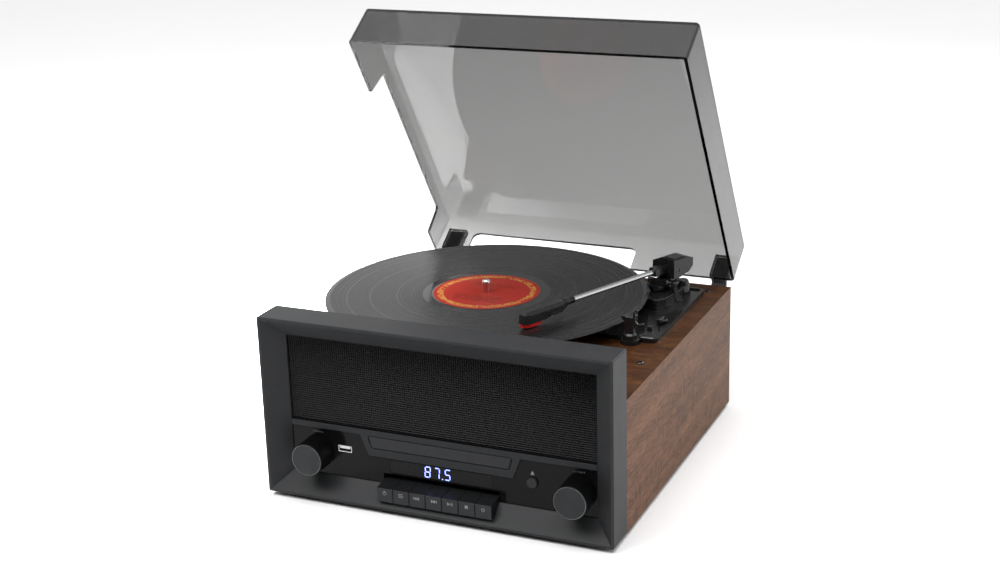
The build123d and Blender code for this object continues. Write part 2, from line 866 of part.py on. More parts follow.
bearing_radius = 9
bearing_bottom_z = deck_z - 11
skirt_wall = 2.5
skirt_bottom_z = deck_z - board + 1
lip_width = 2.5
rib_inset = 3.3
rest_lobe_radius = 8.7
motor_angle = 38
motor_x = record_x + motor_distance * cos(radians(motor_angle))
motor_y = record_y + motor_distance * sin(radians(motor_angle))
selector_x = 133.5
selector_y = 43
selector_stem_radius = 2
switch_x = 129.5
switch_y = 24
switch_travel = 5
switch_stem_width = 2.6

bar_inset = 3
bar_length = 13
bar_top_z = floor_top_z + 3.6
with BuildPart() as turntable_chassis:
    with BuildSketch(level(deck_z)):
        add(deck_shape)
        with Locations((rest_x, rest_y)):
            Circle(rest_lobe_radius)
    extrude(amount=chassis_floor)
    # A raised edge round the deck
    with BuildSketch(level(floor_top_z)):
        add(deck_shape)
        with Locations((rest_x, rest_y)):
            Circle(rest_lobe_radius)
        add(shrunk(deck_shape, lip_width), mode=Mode.SUBTRACT)
        with Locations((rest_x, rest_y)):
            Circle(rest_lobe_radius - lip_width, mode=Mode.SUBTRACT)
    extrude(amount=chassis_lip)
    # A low rib inside it, a step beside the platter, and a thick bar at the arm block's front
    with BuildSketch(level(floor_top_z)):
        add(shrunk(deck_shape, rib_inset))
        add(shrunk(deck_shape, rib_inset + chassis_rib), mode=Mode.SUBTRACT)
    extrude(amount=chassis_rib)
    with BuildSketch(level(floor_top_z)):
        with BuildLine():
            Polyline((100, 76), (120, 74), (125, 59), (120, 30), (112, 20), (108, 40), close=True)
        make_face()
    extrude(amount=1.4, taper=20)
    with BuildSketch(side_on(arm_block_right - bar_inset)):
        with BuildLine():
            front = arm_block_front + 0.6
            Line((front, floor_top_z), (front, floor_top_z + 2))
            crown_top = (front + 2.4, bar_top_z)
            crown = ThreePointArc((front, floor_top_z + 2), crown_top, (front + 5.5, bar_top_z - 1))
            Polyline(crown @ 1, (front + 7.5, floor_top_z), (front, floor_top_z))
        make_face()
    extrude(amount=-bar_length)
    # The skirt that hangs in the cabinet's opening
    with BuildSketch(level(deck_z)):
        add(shrunk(deck_hole_shape, slide))
        add(shrunk(deck_hole_shape, slide + skirt_wall), mode=Mode.SUBTRACT)
    extrude(amount=skirt_bottom_z - deck_z)
    # The platter's bearing, and the openings for the motor's pulley and the two switches
    ring(record_x, record_y, bearing_bottom_z, bearing_top_z, bearing_radius)
    ring(record_x, record_y, bearing_bottom_z, bearing_top_z, spindle_radius + turn, mode=Mode.SUBTRACT)
    ring(motor_x, motor_y, deck_z, floor_top_z, pulley_radius + 3, mode=Mode.SUBTRACT)
    ring(selector_x, selector_y, deck_z, floor_top_z, selector_stem_radius + turn, mode=Mode.SUBTRACT)
    with BuildSketch(level(deck_z)):
        with Locations((switch_x, switch_y)):
            SlotOverall(switch_travel + 7, switch_stem_width + 1, rotation=90)
    extrude(amount=chassis_floor, mode=Mode.SUBTRACT)
save(turntable_chassis, "turntable_chassis")

motor_shaft_radius = 1.2
belt_gap = 0.25
belt_bottom_z = floor_top_z + 4.5
belt_top_z = belt_bottom_z + belt_width
with BuildPart() as turntable_motor:
    ring(motor_x, motor_y, deck_z - motor_height, deck_z, motor_radius)
    fillet(turntable_motor.edges().filter_by(GeomType.CIRCLE).group_by(Axis.Z)[0], radius=2)
    ring(motor_x, motor_y, deck_z, deck_z + 1.5, 4)
    bore_bottom_z = deck_z - motor_height + 4
    ring(motor_x, motor_y, bore_bottom_z, deck_z + 1.5, motor_shaft_radius + turn, mode=Mode.SUBTRACT)
save(turntable_motor, "turntable_motor")

pulley_bottom_z = belt_bottom_z - 1
pulley_top_z = belt_top_z + 1
with BuildPart() as motor_pulley:
    ring(motor_x, motor_y, pulley_bottom_z, pulley_top_z, pulley_radius)
    ring(motor_x, motor_y, pulley_bottom_z - 0.8, pulley_bottom_z, pulley_radius + 1)
    ring(motor_x, motor_y, deck_z - motor_height + 5, pulley_bottom_z, motor_shaft_radius)
save(motor_pulley, "motor_pulley")

with BuildPart() as drive_belt:
    for thickness, mode in [(belt_thickness, Mode.ADD), (0, Mode.SUBTRACT)]:
        with BuildSketch(level(belt_bottom_z)):
            with Locations((record_x, record_y)):
                Circle(drive_rim_radius + belt_gap + thickness)
            with Locations((motor_x, motor_y)):
                Circle(pulley_radius + belt_gap + thickness)
            make_hull()
        extrude(amount=belt_width, mode=mode)
save(drive_belt, "drive_belt")

rim_bottom_z = belt_bottom_z - 1
platter_bottom_z = platter_top_z - platter_height
with BuildPart() as platter:
    with BuildSketch(upright(record_x, record_y)):
        with BuildLine():
            Polyline(
                (spindle_radius, bearing_top_z + lift_off),
                (spindle_radius, platter_top_z),
                (platter_radius, platter_top_z),
                (platter_radius, platter_bottom_z),
                (platter_radius - 2.5, platter_bottom_z),
                (platter_radius - 2.5, platter_web_z),
                (drive_rim_radius, platter_web_z),
                (drive_rim_radius, rim_bottom_z),
                (drive_rim_radius - 2, rim_bottom_z),
                (drive_rim_radius - 2, platter_web_z),
                (11, platter_web_z),
                (11, bearing_top_z + lift_off),
                close=True,
            )
        make_face()
    revolve(axis=upright_axis(record_x, record_y))
    upper_edges = platter.edges().filter_by(GeomType.CIRCLE).group_by(Axis.Z)[-1]
    fillet(upper_edges.sort_by(SortBy.RADIUS)[-1], radius=1)
save(platter, "platter")

with BuildPart() as slip_mat:
    ring(record_x, record_y, platter_top_z, record_bottom_z, mat_radius, spindle_radius + seat)
save(slip_mat, "slip_mat")

record_rim = 1.2  # the record thins towards its edge
with BuildPart() as record:
    with BuildSketch(upright(record_x, record_y)):
        with BuildLine():
            flat = Polyline(
                (record_radius - 0.4, record_bottom_z + 0.3),
                (record_radius - 4, record_bottom_z),
                (spindle_radius + seat, record_bottom_z),
                (spindle_radius + seat, record_top_z),
                (label_radius, record_top_z),
                (label_radius + 1.5, record_top_z - 0.25),
                (record_radius - 6, record_top_z - 0.25),
                (record_radius - 4, record_top_z),
                (record_radius - 0.4, record_bottom_z + 0.3 + record_rim),
            )
            ThreePointArc(flat @ 1, (record_radius, record_bottom_z + 0.3 + record_rim / 2), flat @ 0)
        make_face()
    revolve(axis=upright_axis(record_x, record_y))
save(record, "record")

spindle_head_length = 6
spindle_head_radius = 4
with BuildPart() as spindle:
    head_bottom_z = spindle_top_z - spindle_head_length
    ring(record_x, record_y, bearing_bottom_z, head_bottom_z, spindle_radius)
    ring(record_x, record_y, head_bottom_z, spindle_top_z, spindle_head_radius)
    fillet(spindle.edges().group_by(Axis.Z)[-1], radius=3)
save(spindle, "spindle")

with BuildPart() as speed_selector:
    stem_top = floor_top_z + lift_off
    ring(selector_x, selector_y, deck_z - 5, stem_top, selector_stem_radius)
    ring(selector_x, selector_y, stem_top, stem_top + 3.4, 5)
    fillet(speed_selector.edges().group_by(Axis.Z)[-1], radius=1)
    with BuildSketch(level(stem_top + 1)):
        with Locations((selector_x, selector_y - 3.5)):
            SlotOverall(12, 3, rotation=90)
    extrude(amount=4.8)
    fillet(speed_selector.edges().group_by(Axis.Z)[-1], radius=0.8)
save(speed_selector, "speed_selector")

with BuildPart() as auto_stop_switch:
    thumb_bottom = floor_top_z + lift_off
    with BuildSketch(level(deck_z - 2)):
        with Locations((switch_x, switch_y - switch_travel / 2)):
            Rectangle(switch_stem_width, 4)
    extrude(amount=thumb_bottom + 1 - deck_z + 2)
    with BuildSketch(level(thumb_bottom)):
        with Locations((switch_x, switch_y - switch_travel / 2)):
            Rectangle(5, 6)
    extrude(amount=3, taper=10)
save(auto_stop_switch, "auto_stop_switch")

# ------------------------------------------------------------------ tonearm

reach = Vector(-sin(radians(arm_yaw)), -cos(radians(arm_yaw)), 0)
across = Vector(cos(radians(arm_yaw)), -sin(radians(arm_yaw)), 0)
pivot = Vector(arm_x, arm_y, 0)


def arm_level(z):
    """A horizontal plane at the arm's pivot: x along the arm, y to its right."""
    return Plane(origin=pivot + Vector(0, 0, z), x_dir=reach, z_dir=(0, 0, 1))


def arm_side(offset_right):
    """The arm's side view: x along the arm and y up. It is extruded to the arm's left."""
    return Plane(origin=pivot + across * offset_right, x_dir=reach, z_dir=across * -1)


def arm_section(along, z=0):
    """A plane across the arm: x to its right and y up. It is extruded towards the stylus."""
    return Plane(origin=pivot + reach * along + Vector(0, 0, z), x_dir=across, z_dir=reach)


cue_angle = radians(270 - arm_yaw + 10)
cue_x = arm_x + pad_radius * cos(cue_angle)
cue_y = arm_y + pad_radius * sin(cue_angle)
cue_cup_radius = 8.5
cue_cup_foot_radius = 6
cue_stem_radius = 2.5
platform_top_z = floor_top_z + platform_height
lever_x = 122.5
lever_y = 107.5
lever_z = platform_top_z + 3.6
lever_angle = -57  # the way that the cue lever points, from +X
lever_length = 24.5
lever_bend = 10
lever_drop = 8
lever_half = 1.8
lever_radius = 2.6
lever_pin_radius = 1.2
lever_ear = 1.6
lever_ear_inner = lever_half + 0.2
tower_bore_radius = 4.05
post_x = 126
post_y = 128
post_radius = 6.5
post_top_z = tower_top_z - 1.5
yoke_gap = 0.3
yoke_disc_radius = 9
yoke_disc_z = tower_top_z + yoke_gap
yoke_disc = 2.2
ear_inner = 5.5
ear_outer = 8
ear_half = 3
lever_way = Vector(cos(radians(lever_angle)), sin(radians(lever_angle)), 0)
lever_side = Vector(-sin(radians(lever_angle)), cos(radians(lever_angle)), 0)
lever_pivot = Vector(lever_x, lever_y, lever_z)


def lever_plane(along_pin):
    """The cue lever's side view, at a place along its pin: x the way it points, y up."""
    return Plane(origin=lever_pivot + lever_side * along_pin, x_dir=lever_way, z_dir=lever_side * -1)


with BuildPart() as tonearm_base:
    # The platform: a moulded block with a slanting right side and rounded upright edges
    with BuildSketch(level(floor_top_z)):
        with BuildLine():
            front = Polyline((98, 80), (116, 75.5), (123.5, 84), (126, 99), (129, 112))
            Polyline(front @ 1, (129, 131), (121, 137.5), (99, 137.5), front @ 0)
        make_face()
    extrude(amount=platform_height)
    fillet(tonearm_base.edges().filter_by(Axis.Z), radius=3)
    fillet(tonearm_base.edges().group_by(Axis.Z)[-1], radius=0.8)
    # A flange at its foot
    with BuildSketch(level(floor_top_z)):
        with BuildLine():
            front = Polyline((99, 78), (118, 73), (127.5, 84), (130, 98), (132, 110))
            Polyline(front @ 1, (132, 131), (122, 139), (99, 139), front @ 0)
        make_face()
    extrude(amount=1.6)
    # The tower that the yoke turns in
    with BuildSketch(upright(arm_x, arm_y)):
        with BuildLine():
            Polyline(
                (0, platform_top_z),
                (tower_radius - 1.5, platform_top_z),
                (tower_radius, platform_top_z + 3),
                (tower_radius, tower_top_z - 1),
                (tower_radius - 1, tower_top_z),
                (0, tower_top_z),
                close=True,
            )
        make_face()
    revolve(axis=upright_axis(arm_x, arm_y))
    # The cup that guides the cueing lift: narrow at its foot, rounded out to its rim
    with BuildSketch(upright(cue_x, cue_y)):
        with BuildLine():
            foot = Line((0, platform_top_z), (cue_cup_foot_radius, platform_top_z))
            rim_low = (cue_cup_radius, tower_top_z - 2.4)
            belly = ThreePointArc(foot @ 1, (cue_cup_radius - 0.7, platform_top_z + 2.2), rim_low)
            Polyline(belly @ 1, (cue_cup_radius, tower_top_z - 0.3), (0, tower_top_z - 0.3), foot @ 0)
        make_face()
    revolve(axis=upright_axis(cue_x, cue_y))
    # The post beside the tower
    with BuildSketch(upright(post_x, post_y)):
        with BuildLine():
            Polyline(
                (0, floor_top_z),
                (post_radius + 1, floor_top_z),
                (post_radius, platform_top_z),
                (post_radius - 1.2, post_top_z - 0.8),
                (post_radius - 2, post_top_z),
                (0, post_top_z),
                close=True,
            )
        make_face()
    revolve(axis=upright_axis(post_x, post_y))
    # The pair of ears that carry the cue lever's pin
    for near_face in (lever_ear_inner + lever_ear, -lever_ear_inner):
        with BuildSketch(lever_plane(near_face)):
            with Locations((0, (platform_top_z - 1 - lever_z) / 2)):
                Rectangle(2 * lever_radius, lever_z - platform_top_z + 1)
            Circle(lever_radius)
        extrude(amount=lever_ear)
    with BuildSketch(lever_plane(lever_ear_inner + 0.5)):
        Circle(lever_pin_radius)
    extrude(amount=2 * (lever_ear_inner + 0.5))
    ring(arm_x, arm_y, platform_top_z + 1, tower_top_z, tower_bore_radius, mode=Mode.SUBTRACT)
    ring(cue_x, cue_y, floor_top_z + 2, tower_top_z, cue_stem_radius + turn, mode=Mode.SUBTRACT)
save(tonearm_base, "tonearm_base")

arm_pin_radius = 1.5
arm_pin_reach = housing_half_width - 0.5
yoke_stem_radius = tower_bore_radius - turn
with BuildPart() as tonearm_yoke:
    ring(arm_x, arm_y, platform_top_z + 1 + lift_off, yoke_disc_z, yoke_stem_radius)
    ring(arm_x, arm_y, yoke_disc_z, yoke_disc_z + yoke_disc, yoke_disc_radius)
    for right_face in (ear_outer, -ear_inner):
        with BuildSketch(arm_side(right_face)):
            with Locations((0, (yoke_disc_z + yoke_disc - 0.5 + arm_z) / 2)):
                Rectangle(2 * ear_half, arm_z - yoke_disc_z - yoke_disc + 0.5)
            with Locations((0, arm_z)):
                Circle(ear_half + 0.5)
        extrude(amount=ear_outer - ear_inner)
    # The cross pin that the arm tilts on
    with BuildSketch(arm_side(arm_pin_reach)):
        with Locations((0, arm_z)):
            Circle(arm_pin_radius)
    extrude(amount=2 * arm_pin_reach)
save(tonearm_yoke, "tonearm_yoke")

housing_front = 6.5
housing_rear = -20.5
roof_fall = 5
cap_inset = 1.8
cap_height = 0.8
ear_room = ear_half + 1.3
with BuildPart() as tonearm_housing:
    with BuildSketch(arm_side(housing_half_width)):
        with BuildLine():
            Polyline(
                (housing_front, housing_bottom_z),
                (-3, housing_bottom_z),
                (-9, housing_bottom_z + 2),
                (-15, housing_bottom_z + 3),
                (housing_rear, housing_bottom_z + 8),
                (housing_rear, housing_top_z - 3),
                (-11, housing_top_z),
                (housing_front, housing_top_z),
                close=True,
            )
        make_face()
    extrude(amount=2 * housing_half_width)
    # The roof slopes down to the left, and the rear corner on that side is cut off
    with BuildSketch(arm_section(housing_front + 1)):
        with BuildLine():
            Polyline(
                (-housing_half_width - 1, housing_top_z - roof_fall),
                (-housing_half_width, housing_top_z - roof_fall),
                (-2, housing_top_z),
                (-2, housing_top_z + 1),
                (-housing_half_width - 1, housing_top_z + 1),
                close=True,
            )
        make_face()
    extrude(amount=housing_rear - housing_front - 2, mode=Mode.SUBTRACT)
    with BuildSketch(arm_level(housing_bottom_z - 1)):
        with BuildLine():
            Polyline(
                (housing_rear - 1, -housing_half_width - 1),
                (housing_rear + 9, -housing_half_width - 1),
                (housing_rear - 1, -housing_half_width + 8),
                close=True,
            )
        make_face()
    extrude(amount=housing_top_z - housing_bottom_z + 2, mode=Mode.SUBTRACT)
    roof = tonearm_housing.faces().filter_by(Axis.Z).sort_by(Axis.Z)[-1]
    chamfer(roof.edges(), length=0.7)
    # The plate let on top
    with BuildSketch(arm_level(housing_top_z)):
        with BuildLine():
            Polyline(
                (housing_front - cap_inset, cap_inset - 2),
                (housing_front - cap_inset, housing_half_width - cap_inset),
                (-11 + cap_inset, housing_half_width - cap_inset),
                (-11 + cap_inset, cap_inset - 2),
                close=True,
            )
        make_face()
    extrude(amount=cap_height, taper=15)
    # The sleeve that holds the tube
    with BuildSketch(arm_section(housing_front, arm_z)):
        RectangleRounded(sleeve_width, sleeve_height, 1.2)
    extrude(amount=sleeve_end - housing_front)
    # The space for the yoke, open below, and the bores for its pin and for the tube
    with BuildSketch(arm_level(housing_bottom_z - 1)):
        Rectangle(2 * ear_room, 2 * (ear_outer + 0.5))
    extrude(amount=arm_z + ear_room - housing_bottom_z + 1, mode=Mode.SUBTRACT)
    with BuildSketch(arm_side(housing_half_width + 1)):
        with Locations((0, arm_z)):
            Circle(arm_pin_radius + turn)
    extrude(amount=2 * (housing_half_width + 1), mode=Mode.SUBTRACT)
    with BuildSketch(arm_section(arm_tube_start, arm_z)):
        Circle(arm_tube_radius)
    extrude(amount=sleeve_end - arm_tube_start, mode=Mode.SUBTRACT)
save(tonearm_housing, "tonearm_housing")

with BuildPart() as tonearm_tube:
    with BuildSketch(arm_section(arm_tube_start, arm_z)):
        Circle(arm_tube_radius)
        Circle(arm_tube_radius - arm_tube_wall, mode=Mode.SUBTRACT)
    extrude(amount=arm_tube_end - arm_tube_start)
save(tonearm_tube, "tonearm_tube")

shell_top_z = arm_z + 3
shell_shoulder_z = arm_z + 0.6
shell_bottom_z = arm_z - 4.6
shell_half = 6
shell_ridge_half = 2
shell_tip_half = 3.2
shell_tip_z = arm_z - 7
shell_wide_start = 146
shell_wide_end = 184
shell_wall = 1.2
cartridge_start = 160
cartridge_end = headshell_end - 4
cartridge_half = 4.4
cartridge_bottom_z = arm_z - 7
with BuildPart() as headshell:
    # The section: a flat ridge, sloping shoulders and upright sides
    with BuildSketch(arm_section(collar_end)):
        with BuildLine():
            Polyline(
                (-shell_half, shell_tip_z),
                (-shell_half, shell_shoulder_z),
                (-shell_ridge_half, shell_top_z),
                (shell_ridge_half, shell_top_z),
                (shell_half, shell_shoulder_z),
                (shell_half, shell_tip_z),
                close=True,
            )
        make_face()
    extrude(amount=headshell_end - collar_end)
    # Its side view: a deep neck, a flat underside and a nose that leans forward
    with BuildSketch(arm_side(shell_half + 1)):
        with BuildLine():
            Polyline(
                (collar_end, shell_top_z - 0.6),
                (shell_wide_start, shell_top_z),
                (headshell_end - 5, shell_top_z),
                (headshell_end - 2.2, shell_top_z - 2.2),
                (headshell_end, shell_tip_z),
                (cartridge_start + 6, shell_tip_z),
                (cartridge_start - 2, shell_bottom_z),
                (collar_end, shell_bottom_z + 1),
                close=True,
            )
        make_face()
    extrude(amount=2 * (shell_half + 1), mode=Mode.INTERSECT)
    # Seen from above it is narrow at the neck and at the nose
    with BuildSketch(arm_level(shell_top_z + 1)):
        with BuildLine():
            Polyline(
                (collar_end, -collar_radius),
                (collar_end, collar_radius),
                (shell_wide_start, shell_half),
                (shell_wide_end, shell_half),
                (headshell_end, shell_tip_half),
                (headshell_end, -shell_tip_half),
                (shell_wide_end, -shell_half),
                (shell_wide_start, -shell_half),
                close=True,
            )
        make_face()
    extrude(amount=shell_tip_z - shell_top_z - 2, mode=Mode.INTERSECT)
    # The grooves along both sides, and the pocket that the cartridge clips into
    for groove_face in (shell_half + 1, 0.6 - shell_half):
        with BuildSketch(arm_side(groove_face)):
            with BuildLine():
                Polyline(
                    (152, arm_z - 1.8),
                    (178, arm_z - 3),
                    (180, arm_z - 1.8),
                    (154, arm_z - 0.6),
                    close=True,
                )
            make_face()
        extrude(amount=1.6, mode=Mode.SUBTRACT)
    with BuildSketch(arm_level(shell_tip_z - 1)):
        with Locations(((cartridge_start + cartridge_end) / 2, 0)):
            Rectangle(cartridge_end - cartridge_start + 2 * seat, 2 * (cartridge_half + seat))
    extrude(amount=shell_top_z - shell_wall - 1 - shell_tip_z + 1, mode=Mode.SUBTRACT)
    # The collar on the tube, with its grip rings
    with BuildSketch(arm_section(collar_start, arm_z)):
        Circle(collar_radius)
    extrude(amount=collar_end - collar_start + 1)
    for grip in (1.5, 3.5):
        with BuildSketch(arm_section(collar_start + grip, arm_z)):
            Circle(collar_radius + 1)
            Circle(collar_radius - 0.4, mode=Mode.SUBTRACT)
        extrude(amount=0.8, mode=Mode.SUBTRACT)
    with BuildSketch(arm_section(collar_start, arm_z)):
        Circle(arm_tube_radius)
    extrude(amount=arm_tube_end - collar_start, mode=Mode.SUBTRACT)
    # The finger lift at its left, and the curled lip along its right side
    with BuildSketch(arm_level(arm_z - 1.6)):
        with BuildLine():
            Polyline(
                (collar_end + 0.5, -2.6),
                (collar_end - 4, -10.6),
                (collar_end - 2, -12),
                (collar_end + 11, -11),
                (collar_end + 14.5, -5.5),
                close=True,
            )
        make_face()
    extrude(amount=1.3)
    with BuildSketch(arm_level(shell_bottom_z + 0.2)):
        with BuildLine():
            Line((142, 3.4), (165, 5.4))
            ThreePointArc((165, 5.4), (152, 8.6), (142, 3.4))
        make_face()
    extrude(amount=1.3)
save(headshell, "headshell")

with BuildPart() as cartridge:
    roof_z = shell_top_z - shell_wall - 1
    with BuildSketch(arm_side(cartridge_half)):
        with BuildLine():
            Polyline(
                (cartridge_start, cartridge_bottom_z),
                (cartridge_start, roof_z - 1),
                (cartridge_start + 3, roof_z),
                (cartridge_end - 4, roof_z),
                (cartridge_end, roof_z - 4),
                (cartridge_end, cartridge_bottom_z),
                close=True,
            )
        make_face()
    extrude(amount=2 * cartridge_half)
save(cartridge, "cartridge")

stylus_half = 4.4
stylus_rear = 169.5
stylus_bottom_z = record_top_z + 0.9
needle_tip_z = record_top_z + 0.3
with BuildPart() as stylus:
    with BuildSketch(arm_side(stylus_half)):
        with BuildLine():
            Polyline(
                (stylus_rear, cartridge_bottom_z),
                (headshell_end + 0.6, cartridge_bottom_z),
                (headshell_end, stylus_bottom_z + 1),
                (headshell_end - 4, stylus_bottom_z),
                (stylus_rear + 3.5, stylus_bottom_z),
                close=True,
            )
        make_face()
    extrude(amount=2 * stylus_half)
    with BuildSketch(arm_level(cartridge_bottom_z)):
        with BuildLine():
            Polyline(
                (stylus_rear, -stylus_half),
                (stylus_rear, stylus_half),
                (cartridge_end - 4, stylus_half),
                (headshell_end + 0.6, 1.2),
                (headshell_end + 0.6, -1.2),
                (cartridge_end - 4, -stylus_half),
                close=True,
            )
        make_face()
    extrude(amount=-6, mode=Mode.INTERSECT)
    # The cantilever's needle
    with BuildSketch(arm_level(needle_tip_z)):
        with Locations((stylus_reach, 0)):
            Circle(0.3)
    with BuildSketch(arm_level(stylus_bottom_z + 0.3)):
        with Locations((stylus_reach, 0)):
            Circle(0.8)
    loft()
save(stylus, "stylus")

prong_x = rest_x + collar_radius + parked_gap
prong_width = 2.2
prong_top_z = arm_z + 1.1
left_prong_x = rest_x - collar_radius - parked_gap
saddle_z = arm_z - collar_radius - parked_gap - 1
left_prong_top_z = arm_z - collar_radius - parked_gap
barrel_radius = 6
barrel_top_z = floor_top_z + 7.2
rest_half_depth = rest_depth / 2
clip_pin_x = prong_x + prong_width / 2
clip_pin_z = arm_z - 3
clip_pin_radius = 0.6
clip_hub_radius = 1.5
clip_half_depth = 1.5
notch_half = clip_half_depth + slide / 2
with BuildPart() as arm_rest:
    # The barrel at its foot
    with BuildSketch(upright(rest_x, rest_y)):
        with BuildLine():
            Polyline(
                (0, floor_top_z),
                (barrel_radius, floor_top_z),
                (barrel_radius, barrel_top_z - 1.5),
                (barrel_radius - 1.5, barrel_top_z),
                (0, barrel_top_z),
                close=True,
            )
        make_face()
    revolve(axis=upright_axis(rest_x, rest_y))
    # The post, the low prong on its left, the saddle and the tall prong on its right
    with BuildSketch(facing(rest_y + rest_half_depth)):
        with BuildLine():
            Polyline(
                (rest_x - 4, barrel_top_z - 1),
                (rest_x - 4.6, saddle_z - 3),
                (left_prong_x - 3.4, saddle_z - 1),
                (left_prong_x - 3.4, left_prong_top_z),
                (left_prong_x, left_prong_top_z),
                (left_prong_x + 1.2, saddle_z),
                (prong_x, saddle_z),
                (prong_x, prong_top_z),
                (prong_x + prong_width, prong_top_z),
                (prong_x + prong_width, saddle_z - 4),
                (rest_x + 4, saddle_z - 9),
                (rest_x + 4, barrel_top_z - 1),
                close=True,
            )
        make_face()
    extrude(amount=rest_depth)
    fillet(arm_rest.edges().filter_by(Axis.Z).group_by(Axis.Y)[0], radius=0.4)
    # The slot for the clip down the tall prong, and the clip's pin across it
    with BuildSketch(facing(rest_y + notch_half)):
        with BuildLine():
            Polyline(
                (prong_x - 0.6, prong_top_z + 1),
                (prong_x - 0.6, saddle_z - 11),
                (prong_x + prong_width + 3, saddle_z - 11),
                (prong_x + prong_width + 3, prong_top_z + 1),
                close=True,
            )
        make_face()
    extrude(amount=2 * notch_half, mode=Mode.SUBTRACT)
    with BuildSketch(facing(rest_y + rest_half_depth)):
        with Locations((clip_pin_x, clip_pin_z)):
            Circle(clip_pin_radius)
    extrude(amount=rest_depth)
save(arm_rest, "arm_rest")

clip_thickness = 1.3
with BuildPart() as arm_rest_clip:
    # A hook that hangs open at the right of the rest. It swings up and over to hold the arm.
    with BuildSketch(facing(rest_y + clip_half_depth)):
        with BuildLine() as hook:
            hang = Line((clip_pin_x, clip_pin_z), (clip_pin_x, clip_pin_z - 5))
            elbow = (clip_pin_x + 1.6, clip_pin_z - 7.6)
            bend = ThreePointArc(hang @ 1, elbow, (clip_pin_x + 5.2, clip_pin_z - 8.4))
            Line(bend @ 1, (clip_pin_x + 6.9, clip_pin_z - 7.2))
            offset(amount=clip_thickness / 2, side=Side.BOTH)
        make_face()
        with Locations((clip_pin_x, clip_pin_z)):
            Circle(clip_hub_radius)
            Circle(clip_pin_radius + turn, mode=Mode.SUBTRACT)
    extrude(amount=2 * clip_half_depth)
save(arm_rest_clip, "arm_rest_clip")

with BuildPart() as cue_lever:
    # A slender lever with a flat finger pad at its end
    with BuildSketch(lever_plane(lever_half)):
        with BuildLine():
            Polyline(
                (0, lever_radius),
                (lever_bend, lever_radius - 0.5),
                (lever_length - 5, lever_radius - lever_drop * 0.8),
                (lever_length - 5, lever_radius - lever_drop * 0.8 - 2.6),
                (lever_bend + 1, 0.2 - lever_radius),
                (0, -lever_radius),
                close=True,
            )
        make_face()
        Circle(lever_radius)
    extrude(amount=2 * lever_half)
    with BuildSketch(lever_plane(lever_half + 1)):
        with BuildLine():
            Polyline(
                (lever_length - 7, lever_radius - lever_drop * 0.6),
                (lever_length - 5, lever_radius - lever_drop * 0.75),
                (lever_length, 2 - lever_drop),
                (lever_length, 0.4 - lever_drop),
                (lever_length - 4, -lever_drop),
                (lever_length - 7, lever_radius - lever_drop * 0.6 - 2.6),
                close=True,
            )
        make_face()
    extrude(amount=2 * (lever_half + 1))
    with BuildSketch(lever_plane(lever_half + 1)):
        Circle(lever_pin_radius + turn)
    extrude(amount=2 * (lever_half + 1), mode=Mode.SUBTRACT)
save(cue_lever, "cue_lever")

pad_top_z = arm_z - sleeve_height / 2 - pad_lift - 0.4
pad_half_width = 2.2
pad_from = -18
pad_to = 36
pad_arc = CenterArc((arm_x, arm_y), pad_radius, 270 - arm_yaw + pad_from, pad_to - pad_from)
with BuildPart() as cue_lift_pad:
    pad_bottom_z = tower_top_z
    with BuildSketch(level(pad_bottom_z)):
        SlotArc(pad_arc, 2 * pad_half_width)
    extrude(amount=pad_top_z - pad_bottom_z)
    ring(cue_x, cue_y, floor_top_z + 3, pad_bottom_z, cue_stem_radius)
save(cue_lift_pad, "cue_lift_pad")

# ------------------------------------------------------------------ cover and hinges

tilt = radians(cover_open_angle)
back = Vector(0, cos(tilt), -sin(tilt))
upward = Vector(0, sin(tilt), cos(tilt))
hinge_line = Vector(0, hinge_y, hinge_z)

# The cover is drawn as if it were closed, on planes that are opened about the hinge line.


def cover_level(z):
    """A horizontal plane of the closed cover: x to the right, y to the rear from the hinge line."""
    return Plane(origin=hinge_line + upward * (z - hinge_z), x_dir=(1, 0, 0), z_dir=upward)


def cover_side(x):
    """A side view of the closed cover, from the hinge line. It is extruded to the right."""
    return Plane(origin=hinge_line + Vector(x, 0, 0), x_dir=back, z_dir=(1, 0, 0))


def cover_behind(y):
    """A front view of the closed cover, from the hinge line. It is extruded towards the front."""
    return Plane(origin=hinge_line + back * (y - hinge_y), x_dir=(1, 0, 0), z_dir=back * -1)


